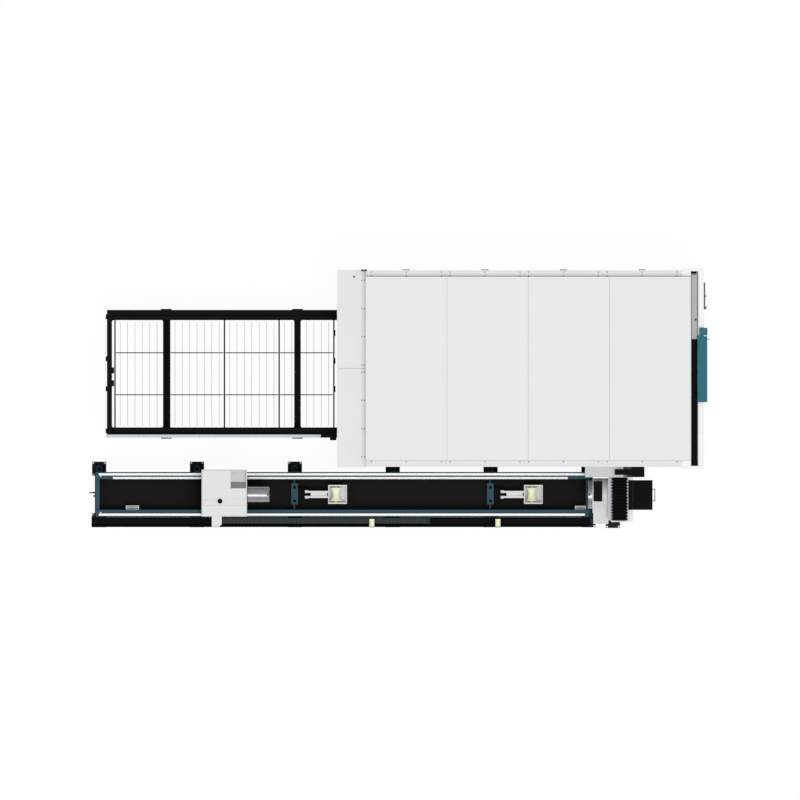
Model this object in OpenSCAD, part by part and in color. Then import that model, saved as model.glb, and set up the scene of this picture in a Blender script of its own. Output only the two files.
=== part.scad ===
// Combined sheet and tube laser cutting machine: a cabin over the sheet bed with a two-level shuttle table
// on its left, and a tube line with two chucks along its front.
// Millimetres, +X towards the operator's door, +Y towards the rear, +Z up.
// The origin is on the floor, in the middle of the machine's plan.

/* [Cabin] */
// left face of the hood along the machine
cabin_x = -880; // [-1000:1:-800]
// centre line of the cabin across the machine
cabin_y = 416; // [380:1:450]
// length of the low hood over the table opening
hood_l = 400; // [360:1:440]
// width of the hood
hood_w = 2764; // [2756:1:2780]
// height of the hood
hood_top = 2000; // [1960:1:2040]
// width over the side panels
body_w = 2750; // [2700:1:2754]
// height of the ledges on the side panels
ledge_top = 2150; // [2120:1:2200]
// width of the roof panels
roof_w = 2570; // [2500:1:2600]
// height of the roof
roof_top = 2250; // [2230:1:2300]
// length of one roof panel
roof_panel_l = 1137.5; // [1120:0.5:1150]
// length of one side panel
side_panel_l = 1100; // [1080:1:1110]
// distance from the hood to the first side panel
side_start = 19; // [10:1:40]
// height of the panels' lower edge above the floor
skirt_z = 100; // [90:1:140]
// thickness of the cabin's sheet metal
sheet_t = 3; // [2:0.5:4]
// depth of the folded edges
fold_d = 40; // [30:1:50]
// open joint between neighbouring panels
seam_gap = 2; // [1:0.5:5]
// side of the frame's square tube
post_w = 60; // [50:1:70]
// width of the rail below roof and ledges
rail_w = 100; // [90:1:120]
// height of the rear panels' pull handles
pull_z = 1100; // [1000:1:1200]

/* [Operator end] */
// gutter between the roof and the end wall
gutter_w = 106; // [100:1:120]
// depth of the hollow end wall
end_wall_d = 77; // [70:1:90]
// length of the cap's side wings
cap_l = 311; // [290:1:314]
// width of the cap
cap_w = 2800; // [2770:1:2840]
// outer radius of the cap's corners
cap_r = 28; // [15:1:40]
// height of the cap's lower edge
cap_z = 60; // [40:1:90]
// width of the sliding door
door_w = 926; // [900:1:940]
// centre of the closed door across the machine
door_y = 409; // [405:1:415]
// thickness of the door leaf
door_t = 44; // [36:1:50]
// air between the leaf and the wall
door_gap = 5; // [3:1:10]
// height of the door's top
door_top = 2190; // [2175:1:2230]
// height of the door's lower edge
door_z = 120; // [110:1:150]
// lower end of the door's bar handle
grip_z0 = 880; // [860:1:900]
// upper end of the door's bar handle
grip_z1 = 1320; // [1300:1:1340]
// how far the leaf covers the edge of the opening
door_lap = 60; // [50:1:80]
// height of the opening's upper edge
door_open_top = 1950; // [1900:1:1980]
// height of the gutter's floor
gutter_z = 2080; // [2070:1:2090]
// width of the latch post
latch_w = 107; // [90:1:120]
// width of the control panel
panel_w = 380; // [360:1:400]
// height of the control panel
panel_h = 600; // [560:1:640]
// how far the control panel stands out
panel_d = 20; // [18:1:25]
// centre of the control panel across the machine
panel_y = 1432; // [1400:1:1460]
// height of the control panel's lower edge
panel_z = 950; // [900:1:1000]
// diameter of the stop button's shaft
stop_d = 22; // [18:1:26]
// air round the shaft in the panel
button_gap = 1; // [0.4:0.1:2]
// stroke of the stop button
stop_stroke = 5; // [3:1:8]

/* [Shuttle table] */
// left end of the table frame
table_x = -4103; // [-4110:1:-4090]
// centre line of table and pallets across the machine
table_y = 343; // [335:1:350]
// space between the table frame and the hood
table_gap = 9; // [4:1:20]
// open width between the pallet's side rails
field_w = 1509; // [1490:1:1530]
// width of a pallet side rail
pallet_rail_w = 60; // [54:1:66]
// height of a pallet side rail
pallet_rail_h = 80; // [70:1:90]
// wall of the pallet side rail
pallet_rail_t = 5; // [4:0.5:7]
// air between pallet rail and table beam
pallet_gap = 8; // [6:1:12]
// width of the table's long beams
beam_w = 72; // [66:1:80]
// height of the table's long beams
beam_h = 140; // [130:1:150]
// height of the lower track
track_low = 600; // [590:1:610]
// height of the upper track
track_high = 860; // [850:1:880]
// thickness of the tracks
track_t = 14; // [10:1:18]
// height of a pallet rail over its track
ride_h = 10; // [8:1:14]
// air under the wheels
run_gap = 0.3; // [0.3:0.1:0.8]
// diameter of the pallet wheels
wheel_d = 56; // [50:1:62]
// left rib of the pallet on the table
pallet_x = -3990; // [-3995:1:-3985]
// pitch of the pallet's ribs
bay_l = 766; // [750:1:770]
// thickness of the pallet's ribs
rib_t = 20; // [14:1:24]
// travel of a pallet between table and machine
pallet_travel = 3500; // [3450:1:3550]
// pitch of the slats in a bay
slat_pitch = 103.2; // [98:0.2:106]
// length of a slat
slat_l = 1453; // [1430:1:1470]
// thickness of a slat
slat_t = 4; // [2:0.5:5]
// height of a slat
slat_h = 110; // [100:1:120]
// teeth on a slat
slat_teeth = 20; // [16:1:30]
// depth of the slat's teeth
tooth_h = 30; // [20:1:40]
// distance of the comb bars from the centre line
comb_y = 294; // [280:1:310]
// thickness of the comb bars
comb_t = 6; // [5:1:8]
// height of the comb bars
comb_h = 50; // [40:1:60]
// air round a comb bar in the slat's slot
slot_gap = 0.5; // [0.3:0.1:1]
// left edge of the first cross beam
cross_x1 = -3318; // [-3330:1:-3300]
// left edge of the second cross beam
cross_x2 = -1481; // [-1490:1:-1470]
// width of a cross beam
cross_w = 92; // [86:1:96]
// radius of the corner plates at the cross beams
gusset_r = 42; // [30:1:50]
// length of a foot plate
foot_l = 150; // [145:1:160]
// thickness of the foot plates
foot_t = 20; // [16:1:24]
// how far a foot plate stands out from the beam
foot_proud = 14; // [10:1:18]
// distance of the two anchor holes in a foot plate
anchor_pitch = 122; // [118:1:126]
// diameter of the anchor holes in a foot plate
anchor_d = 14; // [12:1:18]
// width of the light strip on the front beam
strip_w = 43; // [38:1:48]
// thickness of the light strip
strip_t = 12; // [8:1:16]

/* [Machine bed and gantry] */
// distance of the gantry rails from the centre line
gantry_y = 1010; // [1000:1:1020]
// width of the bed's long beams
bed_beam_w = 160; // [150:1:170]
// height of the bed's long beams
bed_beam_h = 400; // [380:1:420]
// height of the bed's top
bed_top = 800; // [780:1:820]
// wall of the welded beams
beam_t = 10; // [8:1:14]
// right end of the machine bed
bed_x1 = 3250; // [3240:1:3300]
// width of the gantry rails
x_rail_w = 34; // [30:1:40]
// height of the gantry rails
x_rail_h = 30; // [26:1:34]
// side of the rack bars
rack_w = 30; // [24:1:32]
// parked position of the gantry along the machine
gantry_x = 2900; // [2890:1:2910]
// side of the gantry beam
gantry_w = 260; // [240:1:270]
// height of the gantry beam's lower face
gantry_z = 1200; // [1180:1:1230]
// length of the gantry's end carriages
gantry_foot_l = 400; // [380:1:420]
// air between a bearing block and its rail
bearing_gap = 0.5; // [0.3:0.1:1]
// side of the beam rails
y_rail_w = 25; // [20:1:30]
// width of the head carriage
head_w = 260; // [240:1:280]
// height of the nozzle tip with the head raised
nozzle_z = 1060; // [1050:1:1070]
// diameter of the cutting head
head_d = 90; // [80:1:100]

/* [Tube bed] */
// left end of the tube bed
tube_x = -4262; // [-4270:1:-4250]
// length of the tube bed
tube_l = 6920; // [6900:1:6922]
// tube axis across the machine
tube_y = -1346; // [-1350:1:-1342]
// height of the tube axis
tube_z = 950; // [945:1:955]
// width of the tube bed
tube_w = 628; // [620:1:632]
// height of the tube bed
tube_top = 640; // [636:1:644]
// width of the tube bed's long beams
tube_beam_w = 99; // [94:1:104]
// height of the tube bed's long beams
tube_beam_h = 240; // [220:1:260]
// width of the end frames
tube_end_w = 56; // [50:1:60]
// pitch of the feet
foot_pitch = 1370; // [1360:1:1374]
// side of the square foot plates
plate_w = 200; // [190:1:206]
// thickness of the square foot plates
plate_t = 25; // [20:1:30]
// distance of the anchor bolts from a foot plate's edges
bolt_in = 18; // [16:1:20]
// distance of the foot plates' centres from the tube axis
plate_y = 360; // [356:1:364]
// distance of the first feet from the bed's end
foot_start = 50; // [45:1:60]
// width of a leg along the bed
leg_l = 120; // [100:1:140]
// outer diameter of the levelling collars
collar_d = 92; // [84:1:100]
// diameter of the levelling screws
level_d = 36; // [30:1:40]
// air round a levelling screw in its collar
level_gap = 2; // [1:0.5:3]
// distance of the bed rails from the tube axis
t_rail_y = 282; // [278:1:286]
// width of the bed rails
t_rail_w = 30; // [26:1:32]
// height of the bed rails
t_rail_h = 28; // [24:1:32]
// width of the tube bed's rack
t_rack_w = 31; // [26:1:34]
// pitch of the rack's teeth
rack_pitch = 25; // [20:1:30]
// height of the black pan in the bed
pan_z = 420; // [415:1:440]
// height of the pan's side walls
pan_wall = 150; // [140:1:160]
// height of the cross members under the pan
cross_h = 110; // [100:1:120]

/* [Drag chain] */
// width of the chain tray
tray_w = 142; // [138:1:145]
// height of the tray's floor
tray_z = 440; // [430:1:450]
// height of the tray's front wall
tray_wall = 120; // [100:1:130]
// width of the chain
chain_w = 80; // [70:1:84]
// height of a chain link
chain_h = 44; // [38:1:48]
// outer radius of the chain's bend
chain_r = 75; // [68:1:80]
// pitch of the chain's links
link_pitch = 50; // [40:1:60]
// right end of the chain's bend
chain_x1 = 428; // [420:1:440]
// fixed end of the chain in the tray
chain_x0 = -850; // [-870:1:-830]

/* [Rear chuck] */
// left face of the carriage at rest
carriage_x = -2778; // [-2790:1:-2770]
// length of the carriage
carriage_l = 636; // [620:1:650]
// width of the cover behind the tube axis
cover_rear = 348; // [340:1:355]
// width of the cover before the tube axis
cover_front = 308; // [300:1:315]
// height of the cover
cover_top = 1230; // [1200:1:1260]
// height of the cover's lower edge
cover_z = 690; // [685:1:700]
// bevel along the cover's upper edges
cover_bevel = 16; // [10:1:24]
// half width of the tunnel over the supports
tunnel_y = 165; // [160:1:172]
// height of the tunnel's roof
tunnel_z = 850; // [846:1:856]
// diameter of the chuck's nose
nose_d = 214; // [200:1:216]
// length of the chuck's nose
nose_l = 300; // [280:1:310]
// diameter of the chuck's spindle
spindle_d = 120; // [100:1:140]
// air round the spindle in its housing
spindle_gap = 0.5; // [0.3:0.1:1]
// free bore of the chuck's nose
nose_bore = 130; // [110:1:140]
// space between the cover and the nose
nose_gap = 8; // [5:1:12]
// width of a jaw
jaw_w = 34; // [28:1:40]
// length of a jaw along the tube
jaw_l = 40; // [34:1:46]
// air round a jaw in its slot
jaw_gap = 0.5; // [0.3:0.1:1]
// width of the chain arm
arm_w = 140; // [130:1:150]
// reach of the chain arm in front of the cover
arm_reach = 144; // [140:1:148]

/* [Supports and rollers] */
// pivot of the first support's arm along the bed
pivot_x = -1310; // [-1320:1:-1300]
// distance between the two supports
support_pitch = 2741; // [2730:1:2750]
// height of the pivots
pivot_z = 560; // [550:1:570]
// distance from the pivot to the roller
arm_l = 414; // [408:1:420]
// height of the lowered roller's axis
roller_z = 600; // [596:1:602]
// diameter of the grooved rollers
roller_d = 168; // [160:1:170]
// length of the grooved rollers
roller_l = 187; // [180:1:190]
// radius of the rollers' groove
groove_r = 130; // [120:1:160]
// depth of the rollers' groove
groove_d = 34; // [26:1:38]
// outer width of the roller's carrier
carrier_w = 265; // [262:1:268]
// length of the roller's carrier
carrier_l = 262; // [250:1:270]
// diameter of pivot pins and axles
pin_d = 24; // [20:1:28]
// air round pins and axles
pin_gap = 0.4; // [0.3:0.1:0.8]
// left loading roller along the bed
load_x1 = -394; // [-400:1:-388]
// right loading roller along the bed
load_x2 = 1371; // [1365:1:1377]
// diameter of the loading rollers
load_d = 72; // [68:1:74]
// length of the loading rollers
load_l = 108; // [104:1:110]
// height of the loading rollers' axes
load_z = 652; // [650:1:656]

/* [Tube station] */
// left face of the front chuck's housing
front_x = 2692; // [2685:1:2700]
// length of the front chuck's housing
front_l = 240; // [230:1:245]
// radius of the housing's round top
front_r = 226; // [222:1:230]
// front face of the drive box before the tube axis
drive_y = 414; // [405:1:420]
// height of the drive box
drive_top = 1080; // [1050:1:1100]
// free passage for the tube
passage_d = 240; // [236:1:250]
// outer diameter of the front chuck
front_d = 400; // [380:1:420]
// thickness of the front chuck
front_t = 56; // [50:1:58]
// air round the front chuck's hub in its housing
hub_gap = 0.5; // [0.4:0.1:1]
// left face of the cutting chamber
chamber_x = 2957; // [2950:1:2965]
// length of the cutting chamber
chamber_l = 305; // [295:1:310]
// front face of the cutting chamber before the tube axis
chamber_front = 386; // [380:1:390]
// height of the cutting chamber
chamber_top = 1240; // [1230:1:1250]
// height of the cutting chamber's floor
chamber_z = 480; // [460:1:500]
// thickness of the chamber's sheet metal
chamber_t = 4; // [3:0.5:6]
// width of the bellows
bellows_w = 238; // [230:1:240]
// pitch of the bellows' pleats
pleat = 43; // [40:1:44]
// pleats of the bellows
pleats = 14; // [12:1:14]
// depth of the bellows' pleats
pleat_d = 30; // [20:1:34]
// height of the bellows
bellows_h = 60; // [50:1:70]
// left face of the link box
link_x = 2591; // [2585:1:2600]
// length of the link box
link_l = 833; // [825:1:840]
// length of the link box's closed part
link_closed = 537; // [530:1:545]
// depth of the link box
link_d = 147; // [146:1:150]
// height of the link box
link_top = 1480; // [1460:1:1500]
// start of the cable guide on the link box
guide_start = 415; // [400:1:430]
// height of the link box's floor
link_z = 930; // [920:1:940]
// width of the parts drawer
drawer_w = 417; // [410:1:420]
// height of the parts drawer
drawer_h = 220; // [200:1:240]
// height of the parts drawer's floor
drawer_z = 540; // [530:1:560]
// how far the closed drawer stands out of the chamber
drawer_out = 274; // [268:1:280]
// air round the drawer in the chamber's wall
drawer_gap = 3; // [2:0.5:5]

/* [Hidden] */
$fn = 48;

// overlap that joins two blocks of one welded piece
weld = 0.5;
// places of the studs along the table's strip
strip_studs = [448, 522, 1298];
// air at the bolted joints of the cabin's frame
joint_gap = 0.2;

// cabin
roof_x0 = cabin_x + hood_l;
roof_x1 = roof_x0 + 4 * roof_panel_l;
roof_y0 = cabin_y - roof_w / 2;
roof_y1 = cabin_y + roof_w / 2;
side_x0 = roof_x0 + side_start;
body_y0 = cabin_y - body_w / 2;
body_y1 = cabin_y + body_w / 2;
post_y = body_y1 - sheet_t - fold_d - post_w;
rail_z = ledge_top - sheet_t - post_w;
tie_z = bed_top - 200;
wall_x0 = roof_x1 + gutter_w;
wall_x1 = wall_x0 + end_wall_d;
cap_x0 = wall_x1 - cap_l;
door_y0 = door_y - door_w / 2;
door_y1 = door_y + door_w / 2;
door_x0 = wall_x1 + door_gap;
door_x1 = door_x0 + door_t;
gutter_y0 = cabin_y - cap_w / 2 + 36;
gutter_y1 = cabin_y + cap_w / 2 - 36;

// table and pallets
pallet_out = field_w / 2 + pallet_rail_w;
beam_in = pallet_out + pallet_gap;
beam_out = beam_in + beam_w;
table_x1 = cabin_x - table_gap;
pallet_x1 = pallet_x + 4 * bay_l;
slat_x0 = (bay_l - 6 * slat_pitch) / 2;

// lifting door
lift_x = cabin_x + 180;
lift_t = 30;
lift_half = field_w / 2 - 12;
lift_z0 = 1130;
lift_h = 800;
lift_gap = 0.5;
guide_w = 50;

// gantry
gantry_foot_z = bed_top + x_rail_h + 40;
head_x = gantry_x - gantry_w / 2 - y_rail_w;

// tube line
tube_x1 = tube_x + tube_l;
t_beam_in = tube_w / 2 - tube_beam_w;
rack_in = t_beam_in;
tray_y1 = tube_y - tube_w / 2 - 1;
tray_y0 = tray_y1 - tray_w;
chain_y1 = tray_y1 - 14;
carriage_x1 = carriage_x + carriage_l;
nose_x0 = carriage_x1 + nose_gap;
nose_x1 = nose_x0 + nose_l;
front_x1 = front_x + front_l;
chamber_x1 = chamber_x + chamber_l;
chamber_y0 = tube_y - chamber_front;
bellows_x0 = chamber_x;
saddle_x = bellows_x0 + bellows_w / 2;
link_y1 = body_y0;
link_y0 = link_y1 - link_d;
chamber_y1 = link_y0;
bellows_y1 = chamber_y1 - 6;

// a block between its low and its high corner
module block(low, high) {
    translate(low)
        cube(high - low);
}

// round bars along the three directions
module rod_x(x0, x1, y, z, d) {
    translate([x0, y, z])
        rotate([0, 90, 0])
            cylinder(h = x1 - x0, d = d);
}

module rod_y(x, y0, y1, z, d) {
    translate([x, y1, z])
        rotate([90, 0, 0])
            cylinder(h = y1 - y0, d = d);
}

module rod_z(x, y, z0, z1, d) {
    translate([x, y, z0])
        cylinder(h = z1 - z0, d = d);
}

// a square tube along X, open at both ends
module tube_along_x(low, high, wall) {
    difference() {
        block(low, high);
        block(low + [-1, wall, wall], high + [1, -wall, -wall]);
    }
}

// a square tube along Y, open at both ends
module tube_along_y(low, high, wall) {
    difference() {
        block(low, high);
        block(low + [wall, -1, wall], high + [-wall, 1, -wall]);
    }
}

// the children and their mirror image across a line along X
module both_sides(y) {
    children();
    translate([0, 2 * y, 0])
        mirror([0, 1, 0])
            children();
}

module other_side(y) {
    translate([0, 2 * y, 0])
        mirror([0, 1, 0])
            children();
}

// Cabin

module frame_posts() {
    for (n = [0 : 4]) {
        x = side_x0 + n * side_panel_l - (n == 0 ? 0 : n == 4 ? post_w : post_w / 2);
        block([x, post_y, 0], [x + post_w, post_y + post_w, rail_z + weld]);
    }
}

module lift_guide() {
    difference() {
        block([lift_x - 40, table_y + lift_half - 28, lift_z0],
              [lift_x + lift_t + 40, table_y + lift_half - 28 + guide_w + 10,
              hood_top - sheet_t - post_w + weld]);
        block([lift_x - lift_gap, table_y + lift_half - 29, lift_z0 - 1],
              [lift_x + lift_t + lift_gap, table_y + lift_half + lift_gap, hood_top - sheet_t - post_w]);
    }
}

module cabin_frame() {
    hood_post_y = cabin_y + hood_w / 2 - sheet_t - post_w;
    color("LightGrey") {
        both_sides(cabin_y) {
            frame_posts();
            block([roof_x0, post_y + post_w - rail_w, rail_z],
                  [roof_x1, post_y + post_w, ledge_top - sheet_t]);
            block([lift_x - post_w / 2, hood_post_y, 0],
                  [lift_x + post_w / 2, hood_post_y + post_w, hood_top - sheet_t]);
        }
        for (n = [0 : 4]) {
            end = sheet_t + seam_gap;
            x = roof_x0 + n * roof_panel_l + (n == 0 ? end : n == 4 ? -post_w - end : -post_w / 2);
            block([x, roof_y0 + fold_d + seam_gap, ledge_top - sheet_t + joint_gap],
                  [x + post_w, roof_y1 - fold_d - seam_gap, roof_top - fold_d]);
        }
        block([lift_x - 40, cabin_y - hood_w / 2 + sheet_t + post_w / 2, hood_top - sheet_t - post_w],
              [lift_x + lift_t + 40, cabin_y + hood_w / 2 - sheet_t - post_w / 2, hood_top - sheet_t]);
        both_sides(table_y)
            lift_guide();
        for (n = [1 : 3]) {
            x = side_x0 + n * side_panel_l - post_w / 2;
            block([x, table_y + gantry_y + bed_beam_w / 2, tie_z],
                  [x + post_w, post_y - joint_gap, tie_z + post_w]);
            block([x, 2 * cabin_y - post_y + joint_gap, tie_z],
                  [x + post_w, table_y - gantry_y - bed_beam_w / 2, tie_z + post_w]);
        }
    }
}

module side_panel(n) {
    x0 = side_x0 + n * side_panel_l + seam_gap / 2;
    x1 = x0 + side_panel_l - seam_gap;
    block([x0, body_y1 - sheet_t, skirt_z], [x1, body_y1, ledge_top]);
    block([x0, roof_y1 + seam_gap, ledge_top - sheet_t], [x1, body_y1, ledge_top]);
    block([x0, body_y1 - fold_d, skirt_z], [x1, body_y1, skirt_z + sheet_t]);
    for (x = [x0, x1 - sheet_t])
        block([x, body_y1 - sheet_t - fold_d, skirt_z], [x + sheet_t, body_y1, rail_z]);
}

module pull_handle(n) {
    x = side_x0 + (n + 0.5) * side_panel_l;
    for (s = [-1, 1])
        rod_y(x + s * 41, body_y1 - weld, body_y1 + 9, pull_z, 8);
    rod_x(x - 47, x + 47, body_y1 + 9, pull_z, 10);
}

module rear_panels() {
    color("WhiteSmoke")
        for (n = [0 : 3])
            side_panel(n);
    color("Grey")
        for (n = [0 : 3])
            pull_handle(n);
}

module front_panels() {
    color("WhiteSmoke")
        other_side(cabin_y)
            for (n = [0 : 3])
                side_panel(n);
}

module roof_panel(n) {
    x0 = roof_x0 + n * roof_panel_l + seam_gap / 2;
    x1 = x0 + roof_panel_l - seam_gap;
    block([x0, roof_y0, roof_top - sheet_t], [x1, roof_y1, roof_top]);
    both_sides(cabin_y) {
        block([x0, roof_y1 - sheet_t, ledge_top - sheet_t], [x1, roof_y1, roof_top]);
        block([x0, roof_y1 - fold_d, ledge_top - sheet_t], [x1, roof_y1, ledge_top]);
    }
    block([x0, roof_y0, n == 0 ? ledge_top : roof_top - fold_d], [x0 + sheet_t, roof_y1, roof_top]);
    block([x1 - sheet_t, roof_y0, n == 3 ? ledge_top : roof_top - fold_d], [x1, roof_y1, roof_top]);
}

module roof_panels() {
    color("White")
        for (n = [0 : 3])
            roof_panel(n);
}

module hood_opening() {
    block([cabin_x - 1, table_y - beam_out - 15, track_low - beam_h],
          [cabin_x + sheet_t + 1, table_y + beam_out + 15, lift_z0 - 10]);
}

module hood_shell() {
    y0 = cabin_y + seam_gap / 2;
    y1 = cabin_y + hood_w / 2;
    block([cabin_x, y0, hood_top - sheet_t], [roof_x0, y1, hood_top]);
    block([cabin_x, y1 - sheet_t, skirt_z], [roof_x0, y1, hood_top]);
    block([cabin_x, y0, skirt_z], [cabin_x + sheet_t, y1, hood_top]);
    block([roof_x0 - sheet_t, y0, hood_top - sheet_t], [roof_x0, y1 - 50, ledge_top]);
    block([cabin_x, y0, hood_top - fold_d], [lift_x - 41, y0 + sheet_t, hood_top]);
    block([lift_x + lift_t + 41, y0, hood_top - fold_d], [roof_x0, y0 + sheet_t, hood_top]);
}

module hood_rear() {
    color("WhiteSmoke") {
        difference() {
            hood_shell();
            hood_opening();
        }
        rod_z(cabin_x + 237, cabin_y + hood_w / 2 - 96, hood_top - weld, hood_top + 14, 24);
    }
}

module hood_front() {
    color("WhiteSmoke")
        difference() {
            other_side(cabin_y)
                hood_shell();
            hood_opening();
        }
}

module shuttle_door() {
    color("Silver") {
        block([lift_x, table_y - lift_half, lift_z0],
              [lift_x + sheet_t, table_y + lift_half, lift_z0 + lift_h]);
        difference() {
            block([lift_x, table_y - lift_half, lift_z0],
                  [lift_x + lift_t, table_y + lift_half, lift_z0 + lift_h]);
            block([lift_x - 1, table_y - lift_half + 40, lift_z0 + 40],
                  [lift_x + lift_t + 1, table_y + lift_half - 40, lift_z0 + lift_h - 40]);
        }
        for (y = [-lift_half / 3, lift_half / 3])
            block([lift_x, table_y + y - 20, lift_z0 + 20],
                  [lift_x + lift_t, table_y + y + 20, lift_z0 + lift_h - 20]);
    }
}

// Operator end

module cap_plan(inset) {
    x1 = wall_x1 - inset;
    y0 = cabin_y - cap_w / 2 + inset;
    y1 = cabin_y + cap_w / 2 - inset;
    r = cap_r - inset;
    translate([cap_x0, y0])
        square([x1 - r - cap_x0, y1 - y0]);
    translate([cap_x0, y0 + r])
        square([x1 - cap_x0, y1 - y0 - 2 * r]);
    for (y = [y0 + r, y1 - r])
        translate([x1 - r, y])
            circle(r = r);
}

module door_opening() {
    block([wall_x0 - 1, door_y0 + door_lap, door_z + door_lap],
          [wall_x1 + 1, door_y1 - door_lap, door_open_top]);
}

module end_wall() {
    color("White")
        difference() {
            union() {
                translate([0, 0, cap_z])
                    linear_extrude(ledge_top - cap_z)
                        difference() {
                            cap_plan(0);
                            translate([-1, 0])
                                cap_plan(sheet_t);
                        }
                translate([0, 0, ledge_top - sheet_t])
                    linear_extrude(sheet_t)
                        difference() {
                            cap_plan(0);
                            translate([cap_x0 - 1, roof_y0 - seam_gap])
                                square([roof_x1 - cap_x0 + 2, roof_w + 2 * seam_gap]);
                            translate([roof_x1, gutter_y0])
                                square([gutter_w, gutter_y1 - gutter_y0]);
                        }
                block([wall_x0, cabin_y - cap_w / 2 + 1, cap_z],
                      [wall_x0 + sheet_t, cabin_y + cap_w / 2 - 1, ledge_top]);
                both_sides(cabin_y)
                    block([wall_x0, cabin_y + cap_w / 2 - 2 * post_w, 0],
                          [wall_x0 + post_w, cabin_y + cap_w / 2 - post_w, ledge_top - sheet_t]);
                block([wall_x0, door_y0 + door_lap - 20, door_z + door_lap - 20],
                      [wall_x1, door_y1 - door_lap + 20, door_open_top + 20]);
            }
            door_opening();
        }
}

cover_y0 = door_y1 - 42;

module end_gutter() {
    x0 = roof_x1 + 1;
    y0 = gutter_y0;
    y1 = gutter_y1;
    color("Silver") {
        block([x0, y0, gutter_z - sheet_t], [wall_x0, y1, gutter_z]);
        block([x0, y0, gutter_z - sheet_t], [x0 + sheet_t, y1, ledge_top - sheet_t]);
        for (y = [y0, y1 - sheet_t])
            block([x0, y, gutter_z - sheet_t], [wall_x0, y + sheet_t, ledge_top - sheet_t]);
        block([x0 + 10, cover_y0, gutter_z - weld], [wall_x0 - 20, y1 - 50, gutter_z + 40]);
        rod_z(x0 + 70, y1 - 92, gutter_z + 40 - weld, gutter_z + 44, 20);
        rod_z(x0 + 70, cover_y0 + 250, gutter_z + 40 - weld, gutter_z + 48, 22);
        block([x0 + 6, y1 - 44, gutter_z - weld], [x0 + 80, y1 - sheet_t, gutter_z + 50]);
    }
}

track_x0 = wall_x0 - 40;
track_x1 = wall_x0 - 16;
hang_d = 40;

module door_track() {
    y0 = gutter_y0 + 6;
    color("DimGrey") {
        block([roof_x1 + 10, y0, gutter_z], [wall_x0 - 12, cover_y0 - 2, gutter_z + 4]);
        block([track_x0, y0, gutter_z + 4 - weld], [track_x1, cover_y0 - 2, gutter_z + 16]);
        block([roof_x1 + 30, y0, gutter_z + 4 - weld], [roof_x1 + 58, door_y0 + 115, gutter_z + 30]);
    }
}

window_z0 = 1050;
window_z1 = 1750;
window_in = 150;
glass_t = 8;
glass_lap = 12;

module door_hanger(y) {
    z = gutter_z + 16 + run_gap + hang_d / 2;
    rod_x(track_x0, track_x1, y, z, hang_d);
    rod_x(track_x1 - weld, wall_x0 - 6, y, z, 14);
}

module end_door() {
    color("SteelBlue") {
        difference() {
            block([door_x0, door_y0, door_z], [door_x1, door_y1, door_top]);
            block([door_x0 - 1, door_y0 + 90, door_z + 90],
                  [door_x1 - sheet_t, door_y1 - 90, window_z0 - 60]);
            block([door_x0 - 1, door_y0 + window_in, window_z0],
                  [door_x1 + 1, door_y1 - window_in, window_z1]);
            block([door_x0 + 18, door_y0 + window_in - glass_lap, window_z0 - glass_lap],
                  [door_x0 + 18 + glass_t, door_y1 - window_in + glass_lap, window_z1 + glass_lap]);
        }
        block([wall_x0 - 7, door_y0, door_top - 25], [door_x0 + weld, door_y1, door_top]);
        block([wall_x0 - 7, door_y0, gutter_z + 15], [wall_x0 - 1, door_y1, door_top]);
        for (y = [door_y0 + 120, cover_y0 - 90])
            door_hanger(y);
    }
    color("Silver") {
        for (z = [grip_z0 + 40, grip_z1 - 40])
            rod_x(door_x1 - weld, door_x1 + 38, door_y1 - 47, z, 16);
        rod_z(door_x1 + 38, door_y1 - 47, grip_z0, grip_z1, 20);
    }
}

module door_window() {
    color("LightBlue", 0.5)
        block([door_x0 + 18, door_y0 + window_in - glass_lap, window_z0 - glass_lap],
              [door_x0 + 18 + glass_t, door_y1 - window_in + glass_lap, window_z1 + glass_lap]);
}

module teal_trims() {
    latch_y0 = door_y1 + 7;
    color("SteelBlue") {
        block([wall_x1, latch_y0, door_z], [door_x1 + 3, latch_y0 + latch_w, door_top]);
        block([wall_x0 + 14, latch_y0, ledge_top], [door_x1 + 3, latch_y0 + latch_w, door_top]);
        block([roof_x0 - 62, cabin_y + hood_w / 2, skirt_z],
              [roof_x0 + 18, cabin_y + hood_w / 2 + 6, hood_top + 60]);
        block([roof_x0 + 1, body_y1, skirt_z], [roof_x0 + 18, cabin_y + hood_w / 2 + 6, hood_top + 60]);
    }
}

screen_in = 30;
button_z = panel_z + 60;
stop_y = panel_y - panel_w / 2 + 28;

module control_panel() {
    color("DimGrey")
        difference() {
            block([wall_x1, panel_y - panel_w / 2, panel_z],
                  [wall_x1 + panel_d, panel_y + panel_w / 2, panel_z + panel_h]);
            block([wall_x1 + panel_d - 4, panel_y - panel_w / 2 + screen_in, panel_z + 270],
                  [wall_x1 + panel_d + 1, panel_y + panel_w / 2 - screen_in,
                  panel_z + panel_h - screen_in]);
            for (y = [stop_y, panel_y])
                rod_x(wall_x1 + 2, wall_x1 + panel_d + 1, y, button_z, stop_d + 2 * button_gap);
        }
    color("Black")
        block([wall_x1 + panel_d - 4, panel_y - panel_w / 2 + screen_in, panel_z + 270],
              [wall_x1 + panel_d - 1, panel_y + panel_w / 2 - screen_in, panel_z + panel_h - screen_in]);
}

module stop_button() {
    color("Red") {
        rod_x(wall_x1 + 3 + stop_stroke, wall_x1 + panel_d + stop_stroke + 4, stop_y, button_z, stop_d);
        rod_x(wall_x1 + panel_d + stop_stroke + 1, wall_x1 + panel_d + stop_stroke + 15, stop_y,
              button_z, stop_d + 18);
    }
}

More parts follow.
